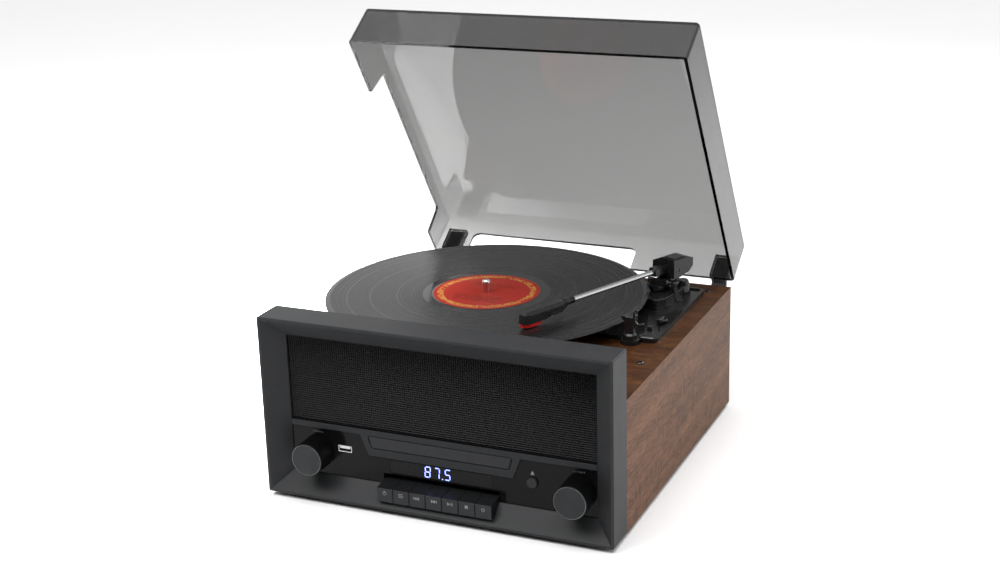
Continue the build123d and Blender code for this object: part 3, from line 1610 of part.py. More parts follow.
socket_half = hinge_width / 2 + 2.3
socket_depth = tongue_thickness + 2 * lift_off
socket_back_y = cover_rear_y + socket_wall + socket_depth + socket_wall
neck_rise = 4  # the tongue leaves the socket this far above the rim
socket_bottom_z = rim_z + neck_rise + 0.5
with BuildPart() as dust_cover:
    for wall, mode in [(0, Mode.ADD), (cover_wall, Mode.SUBTRACT)]:
        with BuildSketch(cover_level(rim_z)):
            with Locations((0, (cover_front_y + cover_rear_y) / 2 - hinge_y)):
                RectangleRounded(cover_width - 2 * wall, cover_length - 2 * wall, 4 - wall)
        extrude(amount=cover_height - wall, mode=mode)
        if not wall:
            fillet(dust_cover.faces().sort_by(Axis(hinge_line, upward))[-1].edges(), radius=2)
    # The cut-out in the left wall
    with BuildSketch(cover_side(-cover_width / 2 - 1)):
        with BuildLine():
            notch_mid = record_y - hinge_y
            notch_top = cover_top_z - side_notch_depth - hinge_z
            Polyline(
                (notch_mid - side_notch_length / 2 - 4, rim_z - hinge_z - 1),
                (notch_mid - side_notch_length / 2, notch_top),
                (notch_mid + side_notch_length / 2, notch_top),
                (notch_mid + side_notch_length / 2 + 4, rim_z - hinge_z - 1),
                close=True,
            )
        notch = make_face()
        fillet(notch.vertices().group_by(Axis.Y)[-1], radius=5)
    extrude(amount=cover_wall + 2, mode=Mode.SUBTRACT)
    # The cut-out in the rear wall
    with BuildSketch(cover_behind(cover_rear_y + 1)):
        with BuildLine():
            rear_top = cover_top_z - rear_notch_depth - hinge_z
            Polyline(
                (record_x - rear_notch_width / 2, rim_z - hinge_z - 1),
                (record_x - rear_notch_width / 2, rear_top),
                (record_x + rear_notch_width / 2, rear_top),
                (record_x + rear_notch_width / 2, rim_z - hinge_z - 1),
                close=True,
            )
        rear_notch = make_face()
        fillet(rear_notch.vertices().group_by(Axis.Y)[-1], radius=8)
    extrude(amount=cover_wall + 2, mode=Mode.SUBTRACT)
    # The sockets that the hinges' tongues fit into
    for side in (-1, 1):
        with BuildSketch(cover_level(socket_bottom_z)):
            with Locations((side * hinge_x, (cover_rear_y + socket_back_y) / 2 - hinge_y)):
                Rectangle(2 * socket_half, socket_back_y - cover_rear_y)
        extrude(amount=socket_length)
        with BuildSketch(cover_level(socket_bottom_z)):
            with Locations((side * hinge_x, cover_rear_y + socket_wall + socket_depth / 2 - hinge_y)):
                Rectangle(hinge_width, socket_depth)
        extrude(amount=socket_length - 2, mode=Mode.SUBTRACT)
save(dust_cover, "dust_cover")

tongue_front = cover_rear_y + socket_wall + lift_off - hinge_y
tongue_back = tongue_front + tongue_thickness
tongue_half = hinge_width / 2 - 0.3
barrel_radius = 4.5
with BuildPart() as hinge_tongues:
    for side in (-1, 1):
        with BuildSketch(cover_side(side * hinge_x - tongue_half)):
            with BuildLine():
                Polyline(
                    (tongue_front, socket_bottom_z + socket_length - 3 - hinge_z),
                    (tongue_back, socket_bottom_z + socket_length - 3 - hinge_z),
                    (tongue_back, rim_z + neck_rise - hinge_z),
                    (3, 12.3),
                    (barrel_radius, 0),
                    (-barrel_radius, 0),
                    (-barrel_radius, rim_z + 0.4 - hinge_z),
                    (tongue_front, rim_z + 0.4 - hinge_z),
                    close=True,
                )
            make_face()
            Circle(barrel_radius)
            Circle(hinge_pin_radius + turn, mode=Mode.SUBTRACT)
        extrude(amount=2 * tongue_half)
save(hinge_tongues, "hinge_tongues")

bracket_gap = 0.3
ear_thickness = 2.5
bracket_half = hinge_width / 2 + bracket_gap + ear_thickness
bracket_plate = 2.5
with BuildPart() as hinge_brackets:
    for side in (-1, 1):
        with BuildSketch(facing(rear_y + bracket_plate)):
            with Locations((side * hinge_x, hinge_z - 9.7)):
                Rectangle(2 * bracket_half, 8)
        extrude(amount=bracket_plate)
        for ear_side in (-1, 1):
            ear_x = side * hinge_x + ear_side * (bracket_half - ear_thickness / 2) - ear_thickness / 2
            with BuildSketch(side_on(ear_x)):
                with BuildLine():
                    Polyline(
                        (rear_y, hinge_z - 13.7),
                        (rear_y, hinge_z + 4.5),
                        (hinge_y, hinge_z + 4.5),
                        (hinge_y + 4.5, hinge_z),
                        (rear_y + bracket_plate, hinge_z - 13.7),
                        close=True,
                    )
                make_face()
                with Locations((hinge_y, hinge_z)):
                    Circle(4.5)
                    Circle(hinge_pin_radius, mode=Mode.SUBTRACT)
            extrude(amount=ear_thickness)
save(hinge_brackets, "hinge_brackets")

with BuildPart() as hinge_pins:
    for side in (-1, 1):
        with BuildSketch(side_on(side * hinge_x - bracket_half)):
            with Locations((hinge_y, hinge_z)):
                Circle(hinge_pin_radius)
        extrude(amount=2 * bracket_half)
save(hinge_pins, "hinge_pins")
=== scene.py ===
# %% [markdown]
# # A stereo music centre, dressed for its portrait
# The cabinet, the deck, the tonearm, the cover and every key arrive as a finished frame, each
# part in its own place and at its real size. This lesson gives each of them its surface, adds the
# small things that are too fine for the construction model, such as the grille's mesh, the
# printed signs and the screws, and then sets up the studio. Everything is in metres, in the
# frame's own coordinates.

import math

import bmesh
import bpy
from mathutils import Matrix, Vector


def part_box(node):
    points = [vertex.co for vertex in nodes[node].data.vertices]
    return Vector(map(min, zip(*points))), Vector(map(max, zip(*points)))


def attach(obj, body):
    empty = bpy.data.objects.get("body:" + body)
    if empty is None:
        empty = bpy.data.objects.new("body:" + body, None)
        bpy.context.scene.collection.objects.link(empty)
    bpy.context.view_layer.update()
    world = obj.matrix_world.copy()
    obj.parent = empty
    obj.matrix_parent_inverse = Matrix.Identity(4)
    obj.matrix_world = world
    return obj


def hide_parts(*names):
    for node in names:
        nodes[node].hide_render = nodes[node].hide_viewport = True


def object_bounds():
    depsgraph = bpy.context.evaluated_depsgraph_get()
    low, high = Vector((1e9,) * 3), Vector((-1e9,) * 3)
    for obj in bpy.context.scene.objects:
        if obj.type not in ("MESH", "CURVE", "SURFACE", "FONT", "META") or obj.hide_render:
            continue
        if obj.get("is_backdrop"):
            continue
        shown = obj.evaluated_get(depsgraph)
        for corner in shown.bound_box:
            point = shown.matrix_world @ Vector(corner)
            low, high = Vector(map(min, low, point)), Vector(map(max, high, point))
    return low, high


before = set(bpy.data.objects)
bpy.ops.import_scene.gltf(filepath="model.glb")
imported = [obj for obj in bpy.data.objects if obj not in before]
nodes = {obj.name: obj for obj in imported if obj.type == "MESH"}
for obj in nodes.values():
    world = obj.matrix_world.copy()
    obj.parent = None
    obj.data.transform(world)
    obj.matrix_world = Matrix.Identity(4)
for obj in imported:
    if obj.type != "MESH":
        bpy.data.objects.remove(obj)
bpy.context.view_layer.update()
mm = 0.001
print("parts in the frame:", len(nodes))

# %% [markdown]
# ## The parts' boxes
# Where a piece goes is read from the part that carries it, never typed in. Each box is a lowest
# and a highest corner. The front of the cabinet faces -Y, so a part's front is its lowest Y.

# %% Read the boxes that later steps need
record_low, record_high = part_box("record")
record_centre = (record_low + record_high) / 2
grille_low, grille_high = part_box("speaker_grille")
panel_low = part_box("control_panel")[0]
lens_low, lens_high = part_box("display_lens")
top_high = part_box("cabinet_top")[1]
rear_low, rear_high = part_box("cabinet_rear")
print("record centre", [round(v, 4) for v in record_centre])

# %% [markdown]
# ## A start for every material
# A Principled shader is the base of each finish. Fixed values go straight onto its sockets. What
# varies over the surface comes from textures that read Object coordinates, so a pattern keeps its
# real size on every part and stays put when a part moves.


# %% A material, its shader and its links
def new_finish(name, colour, roughness, **sockets):
    """A Principled material, and its node tree and shader."""
    material = bpy.data.materials.new(name)
    material.use_nodes = True
    tree = material.node_tree
    shader = tree.nodes["Principled BSDF"]
    shader.inputs["Base Color"].default_value = (*colour, 1)
    shader.inputs["Roughness"].default_value = roughness
    for socket, value in sockets.items():
        shader.inputs[socket.replace("_", " ")].default_value = value
    return material, tree, shader


def add_node(tree, kind, **settings):
    """A node with its settings: attributes by name, and inputs as in_NAME."""
    node = tree.nodes.new(kind)
    for key, value in settings.items():
        if key.startswith("in_"):
            node.inputs[key[3:].replace("_", " ")].default_value = value
        else:
            setattr(node, key, value)
    return node


def object_place(tree, scale=(1, 1, 1), centre=(0, 0, 0)):
    """Object coordinates, measured from a centre and stretched by a scale."""
    place = add_node(tree, "ShaderNodeTexCoord")
    mapping = add_node(tree, "ShaderNodeMapping")
    mapping.inputs["Scale"].default_value = scale
    mapping.inputs["Location"].default_value = [-c * s for c, s in zip(centre, scale)]
    tree.links.new(place.outputs["Object"], mapping.inputs["Vector"])
    return mapping.outputs["Vector"]


def dress(material, *names):
    """Give a finish to parts of the frame, in place of what they came with."""
    for name in names:
        for slot in nodes[name].material_slots:
            slot.link = "OBJECT"
            slot.material = material
    print(material.name, "on", ", ".join(names))


# %% [markdown]
# ## Ramps, sums and bumps
# Most finishes need the same small tools: a ramp that turns a texture into colours, a sum on one
# number, a mix of two colours, the parts of a vector, noise, and a bump. A bump's height is in
# metres here, so a grain of 0.02 mm is written as that.


# %% Small tools for node trees
def ramp(tree, source, stops):
    """Colours along a value, from a list of (place, colour)."""
    node = add_node(tree, "ShaderNodeValToRGB")
    elements = node.color_ramp.elements
    while len(elements) < len(stops):
        elements.new(0.5)
    for element, (place, colour) in zip(elements, stops):
        element.position = place
        element.color = (*colour, 1)
    tree.links.new(source, node.inputs["Fac"])
    return node.outputs["Color"]


def sum_of(tree, operation, first, second=0.0, third=0.0):
    """One Math node. Each operand is a number or a socket."""
    node = add_node(tree, "ShaderNodeMath", operation=operation)
    for socket, value in zip(node.inputs, (first, second, third)):
        if isinstance(value, (int, float)):
            socket.default_value = value
        else:
            tree.links.new(value, socket)
    return node.outputs["Value"]


def mixed(tree, share, first, second):
    """A colour between two. Each is a colour or a socket."""
    node = add_node(tree, "ShaderNodeMix", data_type="RGBA")
    sockets = (node.inputs[0], node.inputs[6], node.inputs[7])
    for socket, value in zip(sockets, (share, first, second)):
        if isinstance(value, (int, float)):
            socket.default_value = value
        elif isinstance(value, tuple):
            socket.default_value = (*value, 1)
        else:
            tree.links.new(value, socket)
    return node.outputs[2]


def bumped(tree, shader, height, depth, strength=1.0):
    """A bump on the shader, from a height of 0 to 1 times a depth in metres."""
    node = add_node(tree, "ShaderNodeBump", in_Strength=strength, in_Distance=depth)
    tree.links.new(height, node.inputs["Height"])
    tree.links.new(node.outputs["Normal"], shader.inputs["Normal"])


def parts_of(tree, vector):
    """The X, Y and Z of a vector, each as a socket."""
    node = add_node(tree, "ShaderNodeSeparateXYZ")
    tree.links.new(vector, node.inputs[0])
    return node.outputs["X"], node.outputs["Y"], node.outputs["Z"]


def length_of(tree, vector):
    """The length of a vector."""
    node = add_node(tree, "ShaderNodeVectorMath", operation="LENGTH")
    tree.links.new(vector, node.inputs[0])
    return node.outputs["Value"]


def round_highlights(tree, shader, axis):
    """Turn the shader's stretched highlights so that they run round an axis."""
    tangent = add_node(tree, "ShaderNodeTangent", direction_type="RADIAL", axis=axis)
    tree.links.new(tangent.outputs["Tangent"], shader.inputs["Tangent"])


def noise(tree, vector, scale, detail=3.0, roughness=0.5):
    """Noise from 0 to 1, with its scale in waves per metre."""
    node = add_node(
        tree, "ShaderNodeTexNoise", in_Scale=scale, in_Detail=detail, in_Roughness=roughness
    )
    tree.links.new(vector, node.inputs["Vector"])
    return node.outputs["Fac"]


# %% [markdown]
# ## Moulded plastic
# Most of the black parts are injection moulded. The tool's surface leaves a very fine grain, and
# handling makes some places a little smoother than others. So two noises are enough: a fine one
# as a bump, and a broad one that moves the roughness by a few hundredths.


# %% Moulded plastic
def moulded(name, colour, roughness, grain=2500, depth=0.03 * mm, variation=0.08, **sockets):
    """Plastic with a fine tool grain and a slightly uneven sheen."""
    material, tree, shader = new_finish(name, colour, roughness, **sockets)
    place = object_place(tree)
    fine = noise(tree, place, grain, detail=2.0)
    broad = noise(tree, place, 25, detail=4.0)
    low = roughness - variation / 2
    sheen = sum_of(tree, "MULTIPLY_ADD", broad, variation, low)
    tree.links.new(sheen, shader.inputs["Roughness"])
    darker = tuple(c * 0.82 for c in colour)
    lighter = tuple(min(1.0, c * 1.18) for c in colour)
    tone = mixed(tree, noise(tree, place, 60, detail=5.0), darker, lighter)
    tree.links.new(tone, shader.inputs["Base Color"])
    bumped(tree, shader, fine, depth)
    return material


matt = {"Specular_IOR_Level": 0.2}
satin_grey = (0.02, 0.0205, 0.022)
bezel_finish = moulded("bezel_black", (0.022, 0.0226, 0.0242), 0.46, grain=1800, **matt)
deck_finish = moulded("deck_black", (0.009, 0.0093, 0.0098), 0.2, grain=900, variation=0.16)
arm_finish = moulded(
    "arm_black",
    (0.009, 0.0094, 0.01),
    0.28,
    grain=1200,
    depth=0.02 * mm,
    variation=0.12,
    Specular_IOR_Level=0.35,
)
inner_finish = moulded("inner_black", (0.006, 0.006, 0.0065), 0.7, **matt)
tray_finish = moulded("tray_black", satin_grey, 0.42, **matt)
dress(bezel_finish, "front_bezel")
dress(deck_finish, "turntable_chassis", "tonearm_base", "tonearm_yoke", "arm_rest", "arm_rest_clip")
dress(deck_finish, "cue_lever", "cue_lift_pad", "speed_selector", "auto_stop_switch")
dress(arm_finish, "tonearm_housing", "headshell", "cartridge")
dress(inner_finish, "speaker_baffle", "cd_drive_frame", "tuning_encoder", "volume_potentiometer")
dress(inner_finish, "mains_inlet", "disc_motor")
dress(tray_finish, "cd_tray", "eject_button")

# %% [markdown]
# ## Ribbed hinge covers
# The plastic of the hinges has fine upright ribs, a fraction of a millimetre deep, which is too
# little to be worth modelling. A sine across X gives their height. Their crests are painted
# brighter in patches, a painted highlight where the ribs catch the light.

# %% Ribs across the hinges
rib_pitch = 2.4 * mm
rib_depth = 0.15 * mm
hinge_finish, tree, shader = new_finish("hinge_black", satin_grey, 0.4)
place = object_place(tree)
ribs = sum_of(
    tree, "SINE", sum_of(tree, "MULTIPLY", parts_of(tree, place)[0], 2 * math.pi / rib_pitch)
)
crests = sum_of(tree, "GREATER_THAN", ribs, 0.55)
# The crests are painted brighter in patches: a painted highlight where the ribs catch the light.
painted_crest_highlight = sum_of(tree, "MULTIPLY", crests, noise(tree, place, 120))
colour = mixed(tree, painted_crest_highlight, (0.03, 0.031, 0.033), (0.28, 0.285, 0.29))
tree.links.new(colour, shader.inputs["Base Color"])
bumped(tree, shader, ribs, rib_depth)
dress(hinge_finish, "hinge_tongues", "hinge_brackets")

# %% [markdown]
# ## Keys and the tray's door
# These are satin mouldings with a darker place each. A key is dark behind its front, where its
# neighbours and the bezel shade it, and the door is dark along its edge, where it meets its
# surround. The places are found from each part's box: Y tells a key's front, and a line that
# slopes with the door's sides tells its edge. One function gives both their satin.


# %% Satin with a dark place
def satin(tree, shader, place, tones, dark_place, dark_tone):
    """Satin plastic between two tones, and a dark one where dark_place is 1."""
    tone = mixed(tree, noise(tree, place, 60, detail=5.0), *tones)
    tree.links.new(mixed(tree, dark_place, tone, dark_tone), shader.inputs["Base Color"])
    sheen = sum_of(tree, "MULTIPLY_ADD", noise(tree, place, 25), 0.08, 0.38)
    tree.links.new(sheen, shader.inputs["Roughness"])
    bumped(tree, shader, noise(tree, place, 2500), 0.03 * mm)


key_front = 0.5 * mm
key_tones = [(0.021, 0.0216, 0.0232), (0.028, 0.0288, 0.031)]
key_finish, tree, shader = new_finish("key_black", (0.02, 0.021, 0.0225), 0.42, **matt)
place = object_place(tree)
key_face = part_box("key_stop")[0].y
behind = sum_of(tree, "GREATER_THAN", parts_of(tree, place)[1], key_face + key_front)
satin(tree, shader, place, key_tones, behind, (0.009, 0.0094, 0.01))
dress(key_finish, *[name for name in nodes if name.startswith("key_")])

# %% The door's edge
door_low, door_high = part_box("cd_tray_door")
door_slope = 3 / 10.8  # how far each side leans out, for each unit of height
edge_width = 0.5 * mm
door_tones = [satin_grey, (0.026, 0.0266, 0.0285)]
door_finish, tree, shader = new_finish("door_black", satin_grey, 0.42, **matt)
place = object_place(tree, centre=((door_low.x + door_high.x) / 2, 0, 0))
door_x, _, door_z = parts_of(tree, place)
half_at_foot = (door_high.x - door_low.x) / 2 - door_high.z * door_slope - edge_width
side_line = sum_of(tree, "MULTIPLY_ADD", door_z, door_slope, half_at_foot)
at_side = sum_of(tree, "GREATER_THAN", sum_of(tree, "ABSOLUTE", door_x), side_line)
at_top = sum_of(tree, "GREATER_THAN", door_z, door_high.z - edge_width)
at_foot = sum_of(tree, "LESS_THAN", door_z, door_low.z + edge_width)
at_edge = sum_of(tree, "MAXIMUM", at_side, sum_of(tree, "MAXIMUM", at_top, at_foot))
satin(tree, shader, place, door_tones, at_edge, (0.002, 0.002, 0.0022))
dress(door_finish, "cd_tray_door")

# %% [markdown]
# ## The control panel
# The panel is one moulding with two surfaces. The raised band and the frame round the tray are
# satin, like the bezel. What lies lower is polished to a mirror, like the display's window, so
# that the window disappears in it. Only the depth tells them apart, so the finish looks at Y.

# %% Two finishes on one moulding
raised_face = panel_low.y + 0.7 * mm
polished_black = (0.0045, 0.0045, 0.005)
panel_finish, tree, shader = new_finish(
    "panel_black", (0.01, 0.01, 0.011), 0.12, Specular_IOR_Level=0.12
)
place = object_place(tree)
raised = sum_of(tree, "LESS_THAN", parts_of(tree, place)[1], raised_face)
colour = mixed(tree, raised, polished_black, (0.024, 0.025, 0.027))
tree.links.new(colour, shader.inputs["Base Color"])
uneven = sum_of(tree, "MULTIPLY_ADD", noise(tree, place, 25), 0.06, 0.1)
tree.links.new(sum_of(tree, "MULTIPLY_ADD", raised, 0.3, uneven), shader.inputs["Roughness"])
bumped(tree, shader, sum_of(tree, "MULTIPLY", noise(tree, place, 1800), raised), 0.03 * mm)
dress(panel_finish, "control_panel")

lens_finish = moulded(
    "lens_black",
    polished_black,
    0.12,
    depth=0.002 * mm,
    variation=0.04,
    Specular_IOR_Level=0.15,
)
dress(lens_finish, "display_lens")

# %% [markdown]
# ## Walnut foil
# The cabinet is board wrapped in a walnut print under satin lacquer. Grain is noise that is
# stretched along one axis. Three sizes of it make the wood: broad bands of colour, finer streaks,
# and short dark pores. Walnut also has figure, which is a ripple across the grain where the
# fibres wave. On the top the grain runs across the cabinet, and on the sides it runs front to
# back.


# %% Walnut
def walnut(name, along, tones, figure, roughness):
    """Veneer whose grain runs along X or Y. Tones go from dark to light, figure from 0 to 1."""
    material, tree, shader = new_finish(name, tones[1], roughness, Specular_IOR_Level=0.1)
    slow, fast = 1.0, 22.0  # waves along the grain, and across it
    stretch = (slow, fast, fast) if along == "X" else (fast, slow, fast)
    rippled = (fast, 2.0, 2.0) if along == "X" else (2.0, fast, 2.0)
    plain = object_place(tree)
    # The grain wanders: a slow noise pushes each point a few millimetres aside
    wave = add_node(tree, "ShaderNodeTexNoise", in_Scale=9.0, in_Detail=2.0)
    tree.links.new(plain, wave.inputs["Vector"])
    small = add_node(tree, "ShaderNodeVectorMath", operation="SCALE")
    small.inputs["Scale"].default_value = 12 * mm
    tree.links.new(wave.outputs["Color"], small.inputs[0])
    bent = add_node(tree, "ShaderNodeVectorMath", operation="ADD")
    tree.links.new(plain, bent.inputs[0])
    tree.links.new(small.outputs[0], bent.inputs[1])
    long_way = add_node(tree, "ShaderNodeMapping")
    long_way.inputs["Scale"].default_value = stretch
    tree.links.new(bent.outputs[0], long_way.inputs["Vector"])
    grain = long_way.outputs["Vector"]
    bands = noise(tree, grain, 4.0, detail=5.0, roughness=0.6)
    streaks = noise(tree, grain, 60, detail=5.0, roughness=0.8)
    pores = noise(tree, grain, 110, detail=2.0, roughness=0.5)
    ripples = noise(tree, object_place(tree, scale=rippled), 24, detail=3.0, roughness=0.75)
    tone = sum_of(tree, "MULTIPLY_ADD", streaks, 0.8, sum_of(tree, "MULTIPLY", bands, 0.3))
    tone = sum_of(tree, "SUBTRACT", tone, 0.05)
    patchy = noise(tree, plain, 14, detail=1.0)
    patches = ramp(tree, patchy, [(0.4, (0, 0, 0)), (0.65, (1, 1, 1))])
    figured = sum_of(tree, "MULTIPLY", sum_of(tree, "SUBTRACT", ripples, 0.5), patches)
    tone = sum_of(tree, "MULTIPLY_ADD", figured, 0.5 * figure, tone)
    colour = ramp(tree, tone, [(0.35, tones[0]), (0.5, tones[1]), (0.65, tones[2])])
    dark_pore = ramp(tree, pores, [(0.36, (0.45, 0.36, 0.3)), (0.46, (1, 1, 1))])
    pored = add_node(tree, "ShaderNodeMix", data_type="RGBA", blend_type="MULTIPLY")
    pored.inputs[0].default_value = 0.7
    tree.links.new(colour, pored.inputs[6])
    tree.links.new(dark_pore, pored.inputs[7])
    tree.links.new(pored.outputs[2], shader.inputs["Base Color"])
    sheen = sum_of(tree, "MULTIPLY_ADD", streaks, 0.14, roughness - 0.07)
    tree.links.new(sheen, shader.inputs["Roughness"])
    bumped(tree, shader, pores, 0.05 * mm, strength=0.5)
    return material


top_tones = [(0.007, 0.002, 0.0007), (0.05, 0.018, 0.006), (0.16, 0.066, 0.023)]
# The sides are the same foil as the top. Their lighter tones are painted light, standing in for the
# sheen that the sides catch.
side_tones_painted_lighter = [(0.035, 0.012, 0.004), (0.12, 0.052, 0.024), (0.26, 0.125, 0.062)]
walnut_top = walnut("walnut_top", "X", top_tones, 0.4, 0.4)
walnut_side = walnut("walnut_side", "Y", side_tones_painted_lighter, 1.0, 0.45)
dress(walnut_top, "cabinet_top")
dress(walnut_side, "cabinet_left_side", "cabinet_right_side")

# %% [markdown]
# ## The back and the underside
# Nobody sees these, so makers leave them as dark board, with only the fibres of the board to see.

# %% Dark board
board_finish, tree, shader = new_finish("dark_board", (0.03, 0.026, 0.023), 0.75)
place = object_place(tree)
fibres = noise(tree, place, 900, detail=4.0, roughness=0.7)
colour = ramp(tree, fibres, [(0.3, (0.014, 0.012, 0.011)), (0.7, (0.045, 0.039, 0.034))])
tree.links.new(colour, shader.inputs["Base Color"])
bumped(tree, shader, fibres, 0.08 * mm, strength=0.6)
dress(board_finish, "cabinet_bottom", "cabinet_rear")

# %% [markdown]
# ## Metals and rubber
# Each metal has fine scratches that follow how it was made. Turned parts get rings, and drawn or
# stamped ones get streaks, which is noise stretched along one axis again.


# %% Metal
def metal(name, colour, roughness, stretch=(1, 1, 1), scratch=900, depth=0.01 * mm):
    """Bare metal with fine scratches."""
    material, tree, shader = new_finish(name, colour, roughness, Metallic=1.0)
    scratches = noise(tree, object_place(tree, scale=stretch), scratch, detail=3.0)
    sheen = sum_of(tree, "MULTIPLY_ADD", scratches, 0.12, roughness - 0.06)
    tree.links.new(sheen, shader.inputs["Roughness"])
    darker = tuple(c * 0.9 for c in colour)
    tree.links.new(mixed(tree, scratches, darker, colour), shader.inputs["Base Color"])
    bumped(tree, shader, scratches, depth, strength=0.4)
    return material


arm_silver = metal("arm_silver", (0.6, 0.6, 0.61), 0.22, scratch=400, depth=0.001 * mm)
bright_steel = metal("bright_steel", (0.75, 0.75, 0.75), 0.16)
plain_steel = metal("plain_steel", (0.38, 0.38, 0.39), 0.42)
turned_brass = metal("turned_brass", (0.78, 0.56, 0.26), 0.25, stretch=(1, 1, 20))
dress(arm_silver, "tonearm_tube")
dress(bright_steel, "spindle", "hinge_pins")
dress(plain_steel, "speaker_frames", "turntable_motor", "mains_transformer")
dress(turned_brass, "motor_pulley")

platter_finish = moulded("platter_black", (0.03, 0.03, 0.031), 0.38, grain=900, Metallic=0.6)
mat_finish = moulded("mat_rubber", (0.02, 0.02, 0.02), 0.72, grain=700, depth=0.06 * mm)
belt_finish = moulded("belt_rubber", (0.016, 0.016, 0.016), 0.55)
foot_finish = moulded("foot_rubber", (0.018, 0.018, 0.018), 0.8, grain=900)
dress(platter_finish, "platter")
dress(mat_finish, "slip_mat")
dress(belt_finish, "drive_belt")
dress(foot_finish, "rubber_feet")

cone_finish = moulded(
    "paper_cone", (0.006, 0.006, 0.006), 0.85, grain=600, depth=0.15 * mm, **matt
)
dress(cone_finish, "speaker_cones")

# %% [markdown]
# ## Circuit board, sockets and stylus
# The board is green lacquer over copper tracks, for which bricks are a fair stand-in. The USB
# socket is white at its mouth, and past that it is painted near black, as painted shade in its
# cavity. The stylus holder is clear red plastic, so a little light goes through it.

# %% Board, sockets and stylus
board_green, tree, shader = new_finish("circuit_green", (0.02, 0.12, 0.05), 0.35)
place = object_place(tree)
tracks = add_node(tree, "ShaderNodeTexBrick", in_Scale=120.0)
tree.links.new(place, tracks.inputs["Vector"])
tracks.inputs["Color1"].default_value = (0.015, 0.11, 0.045, 1)
tracks.inputs["Color2"].default_value = (0.02, 0.14, 0.06, 1)
tracks.inputs["Mortar"].default_value = (0.06, 0.22, 0.1, 1)
tree.links.new(tracks.outputs["Color"], shader.inputs["Base Color"])
dress(board_green, "main_board")

jack_finish = moulded("jack_black", (0.02, 0.02, 0.02), 0.45)
dress(jack_finish, "line_out_jacks")
module_finish = moulded("display_body", (0.7, 0.72, 0.74), 0.4)
dress(module_finish, "display_module")
socket_finish, tree, shader = new_finish("socket_white", (0.75, 0.76, 0.77), 0.35)
place = object_place(tree)
# Past its mouth the socket is painted near black: painted shade in its cavity.
mouth_depth = 0.6 * mm
painted_shade_inside = sum_of(
    tree, "GREATER_THAN", parts_of(tree, place)[1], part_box("usb_socket")[0].y + mouth_depth
)
spotted = mixed(tree, noise(tree, place, 400), (0.7, 0.71, 0.72), (0.8, 0.81, 0.82))
tree.links.new(mixed(tree, painted_shade_inside, spotted, (0.008, 0.008, 0.009)), shader.inputs["Base Color"])
dress(socket_finish, "usb_socket")

stylus_finish = moulded(
    "stylus_red",
    (0.75, 0.018, 0.012),
    0.25,
    grain=800,
    depth=0.005 * mm,
    Subsurface_Weight=0.2,
    Subsurface_Radius=(0.004, 0.001, 0.001),
    Subsurface_Scale=0.5,
)
dress(stylus_finish, "stylus")

# %% [markdown]
# ## Knobs
# The knobs' faces are turned, so they carry fine rings that catch the light as two bright wedges.
# The rings are a sine of the distance from the knob's own axis, and each knob has its own centre,
# so the finish is made once for each.


# %% Turned knob faces
side_ribs = 110  # round the knob
ring_pitch = 0.8 * mm
face_radius = 13.4 * mm  # where the rings end and the ribs begin
bright_radius = 13.9 * mm  # the polished ring at the face's edge
bright_half = 0.18 * mm


def turned_knob(node):
    """Dark anodised metal: rings round the knob's axis on its face, and ribs along its side."""
    low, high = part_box(node)
    centre = (low + high) / 2
    material, tree, shader = new_finish(
        f"{node}_metal", (0.05, 0.051, 0.053), 0.3, Metallic=0.9, Anisotropic=0.85
    )
    round_highlights(tree, shader, "Y")
    place = object_place(tree, scale=(1, 0, 1), centre=(centre.x, 0, centre.z))
    radius = length_of(tree, place)
    x, _, z = parts_of(tree, place)
    angle = sum_of(tree, "ARCTAN2", z, x)
    ribs = sum_of(tree, "SINE", sum_of(tree, "MULTIPLY", angle, side_ribs))
    uneven = noise(tree, object_place(tree), 500, detail=4.0)
    rings = sum_of(tree, "SINE", sum_of(tree, "MULTIPLY", radius, 2 * math.pi / ring_pitch))
    outer = sum_of(tree, "GREATER_THAN", radius, face_radius)
    face = sum_of(tree, "MULTIPLY_ADD", uneven, 0.4, rings)
    height = sum_of(tree, "MULTIPLY_ADD", ribs, sum_of(tree, "MULTIPLY", outer, 2.0), face)
    bumped(tree, shader, height, 0.02 * mm)
    bright = sum_of(tree, "COMPARE", radius, bright_radius, bright_half)
    colour = mixed(tree, bright, (0.03, 0.031, 0.032), (0.16, 0.164, 0.168))
    tree.links.new(colour, shader.inputs["Base Color"])
    dress(material, node)


turned_knob("tuning_knob")
turned_knob("volume_knob")

# %% [markdown]
# ## The record
# A record is glossy black vinyl. Its groove is far too fine to see, but it spreads each highlight
# across the groove into a long fan, so the shader is anisotropic round the axis. Between the
# tracks are smooth bands. The label is a disc of paper, and its print here is only rows of plain
# marks.

# %% Distance from the spindle, and the tracks
label_radius = 50 * mm
groove_start = 146 * mm
groove_end = 60 * mm
track_ends = (84 * mm, 109 * mm, 131 * mm)
gap_width = 0.9 * mm
vinyl_black = (0.006, 0.006, 0.0063)
vinyl, tree, shader = new_finish("record_vinyl", vinyl_black, 0.22, Anisotropic=0.8)
round_highlights(tree, shader, "Z")
place = object_place(tree, scale=(1, 1, 0), centre=record_centre)
radius = length_of(tree, place)
along_radius = add_node(tree, "ShaderNodeCombineXYZ")
tree.links.new(radius, along_radius.inputs["X"])
loudness = noise(tree, along_radius.outputs["Vector"], 420, detail=5.0, roughness=0.7)
outside_end = sum_of(tree, "GREATER_THAN", radius, groove_end)
inside_start = sum_of(tree, "LESS_THAN", radius, groove_start)
grooved = sum_of(tree, "MULTIPLY", outside_end, inside_start)
for track_end in track_ends:
    gap = sum_of(tree, "COMPARE", radius, track_end, gap_width / 2)
    grooved = sum_of(tree, "SUBTRACT", grooved, gap)
print("vinyl is grooved from", groove_end, "to", groove_start)


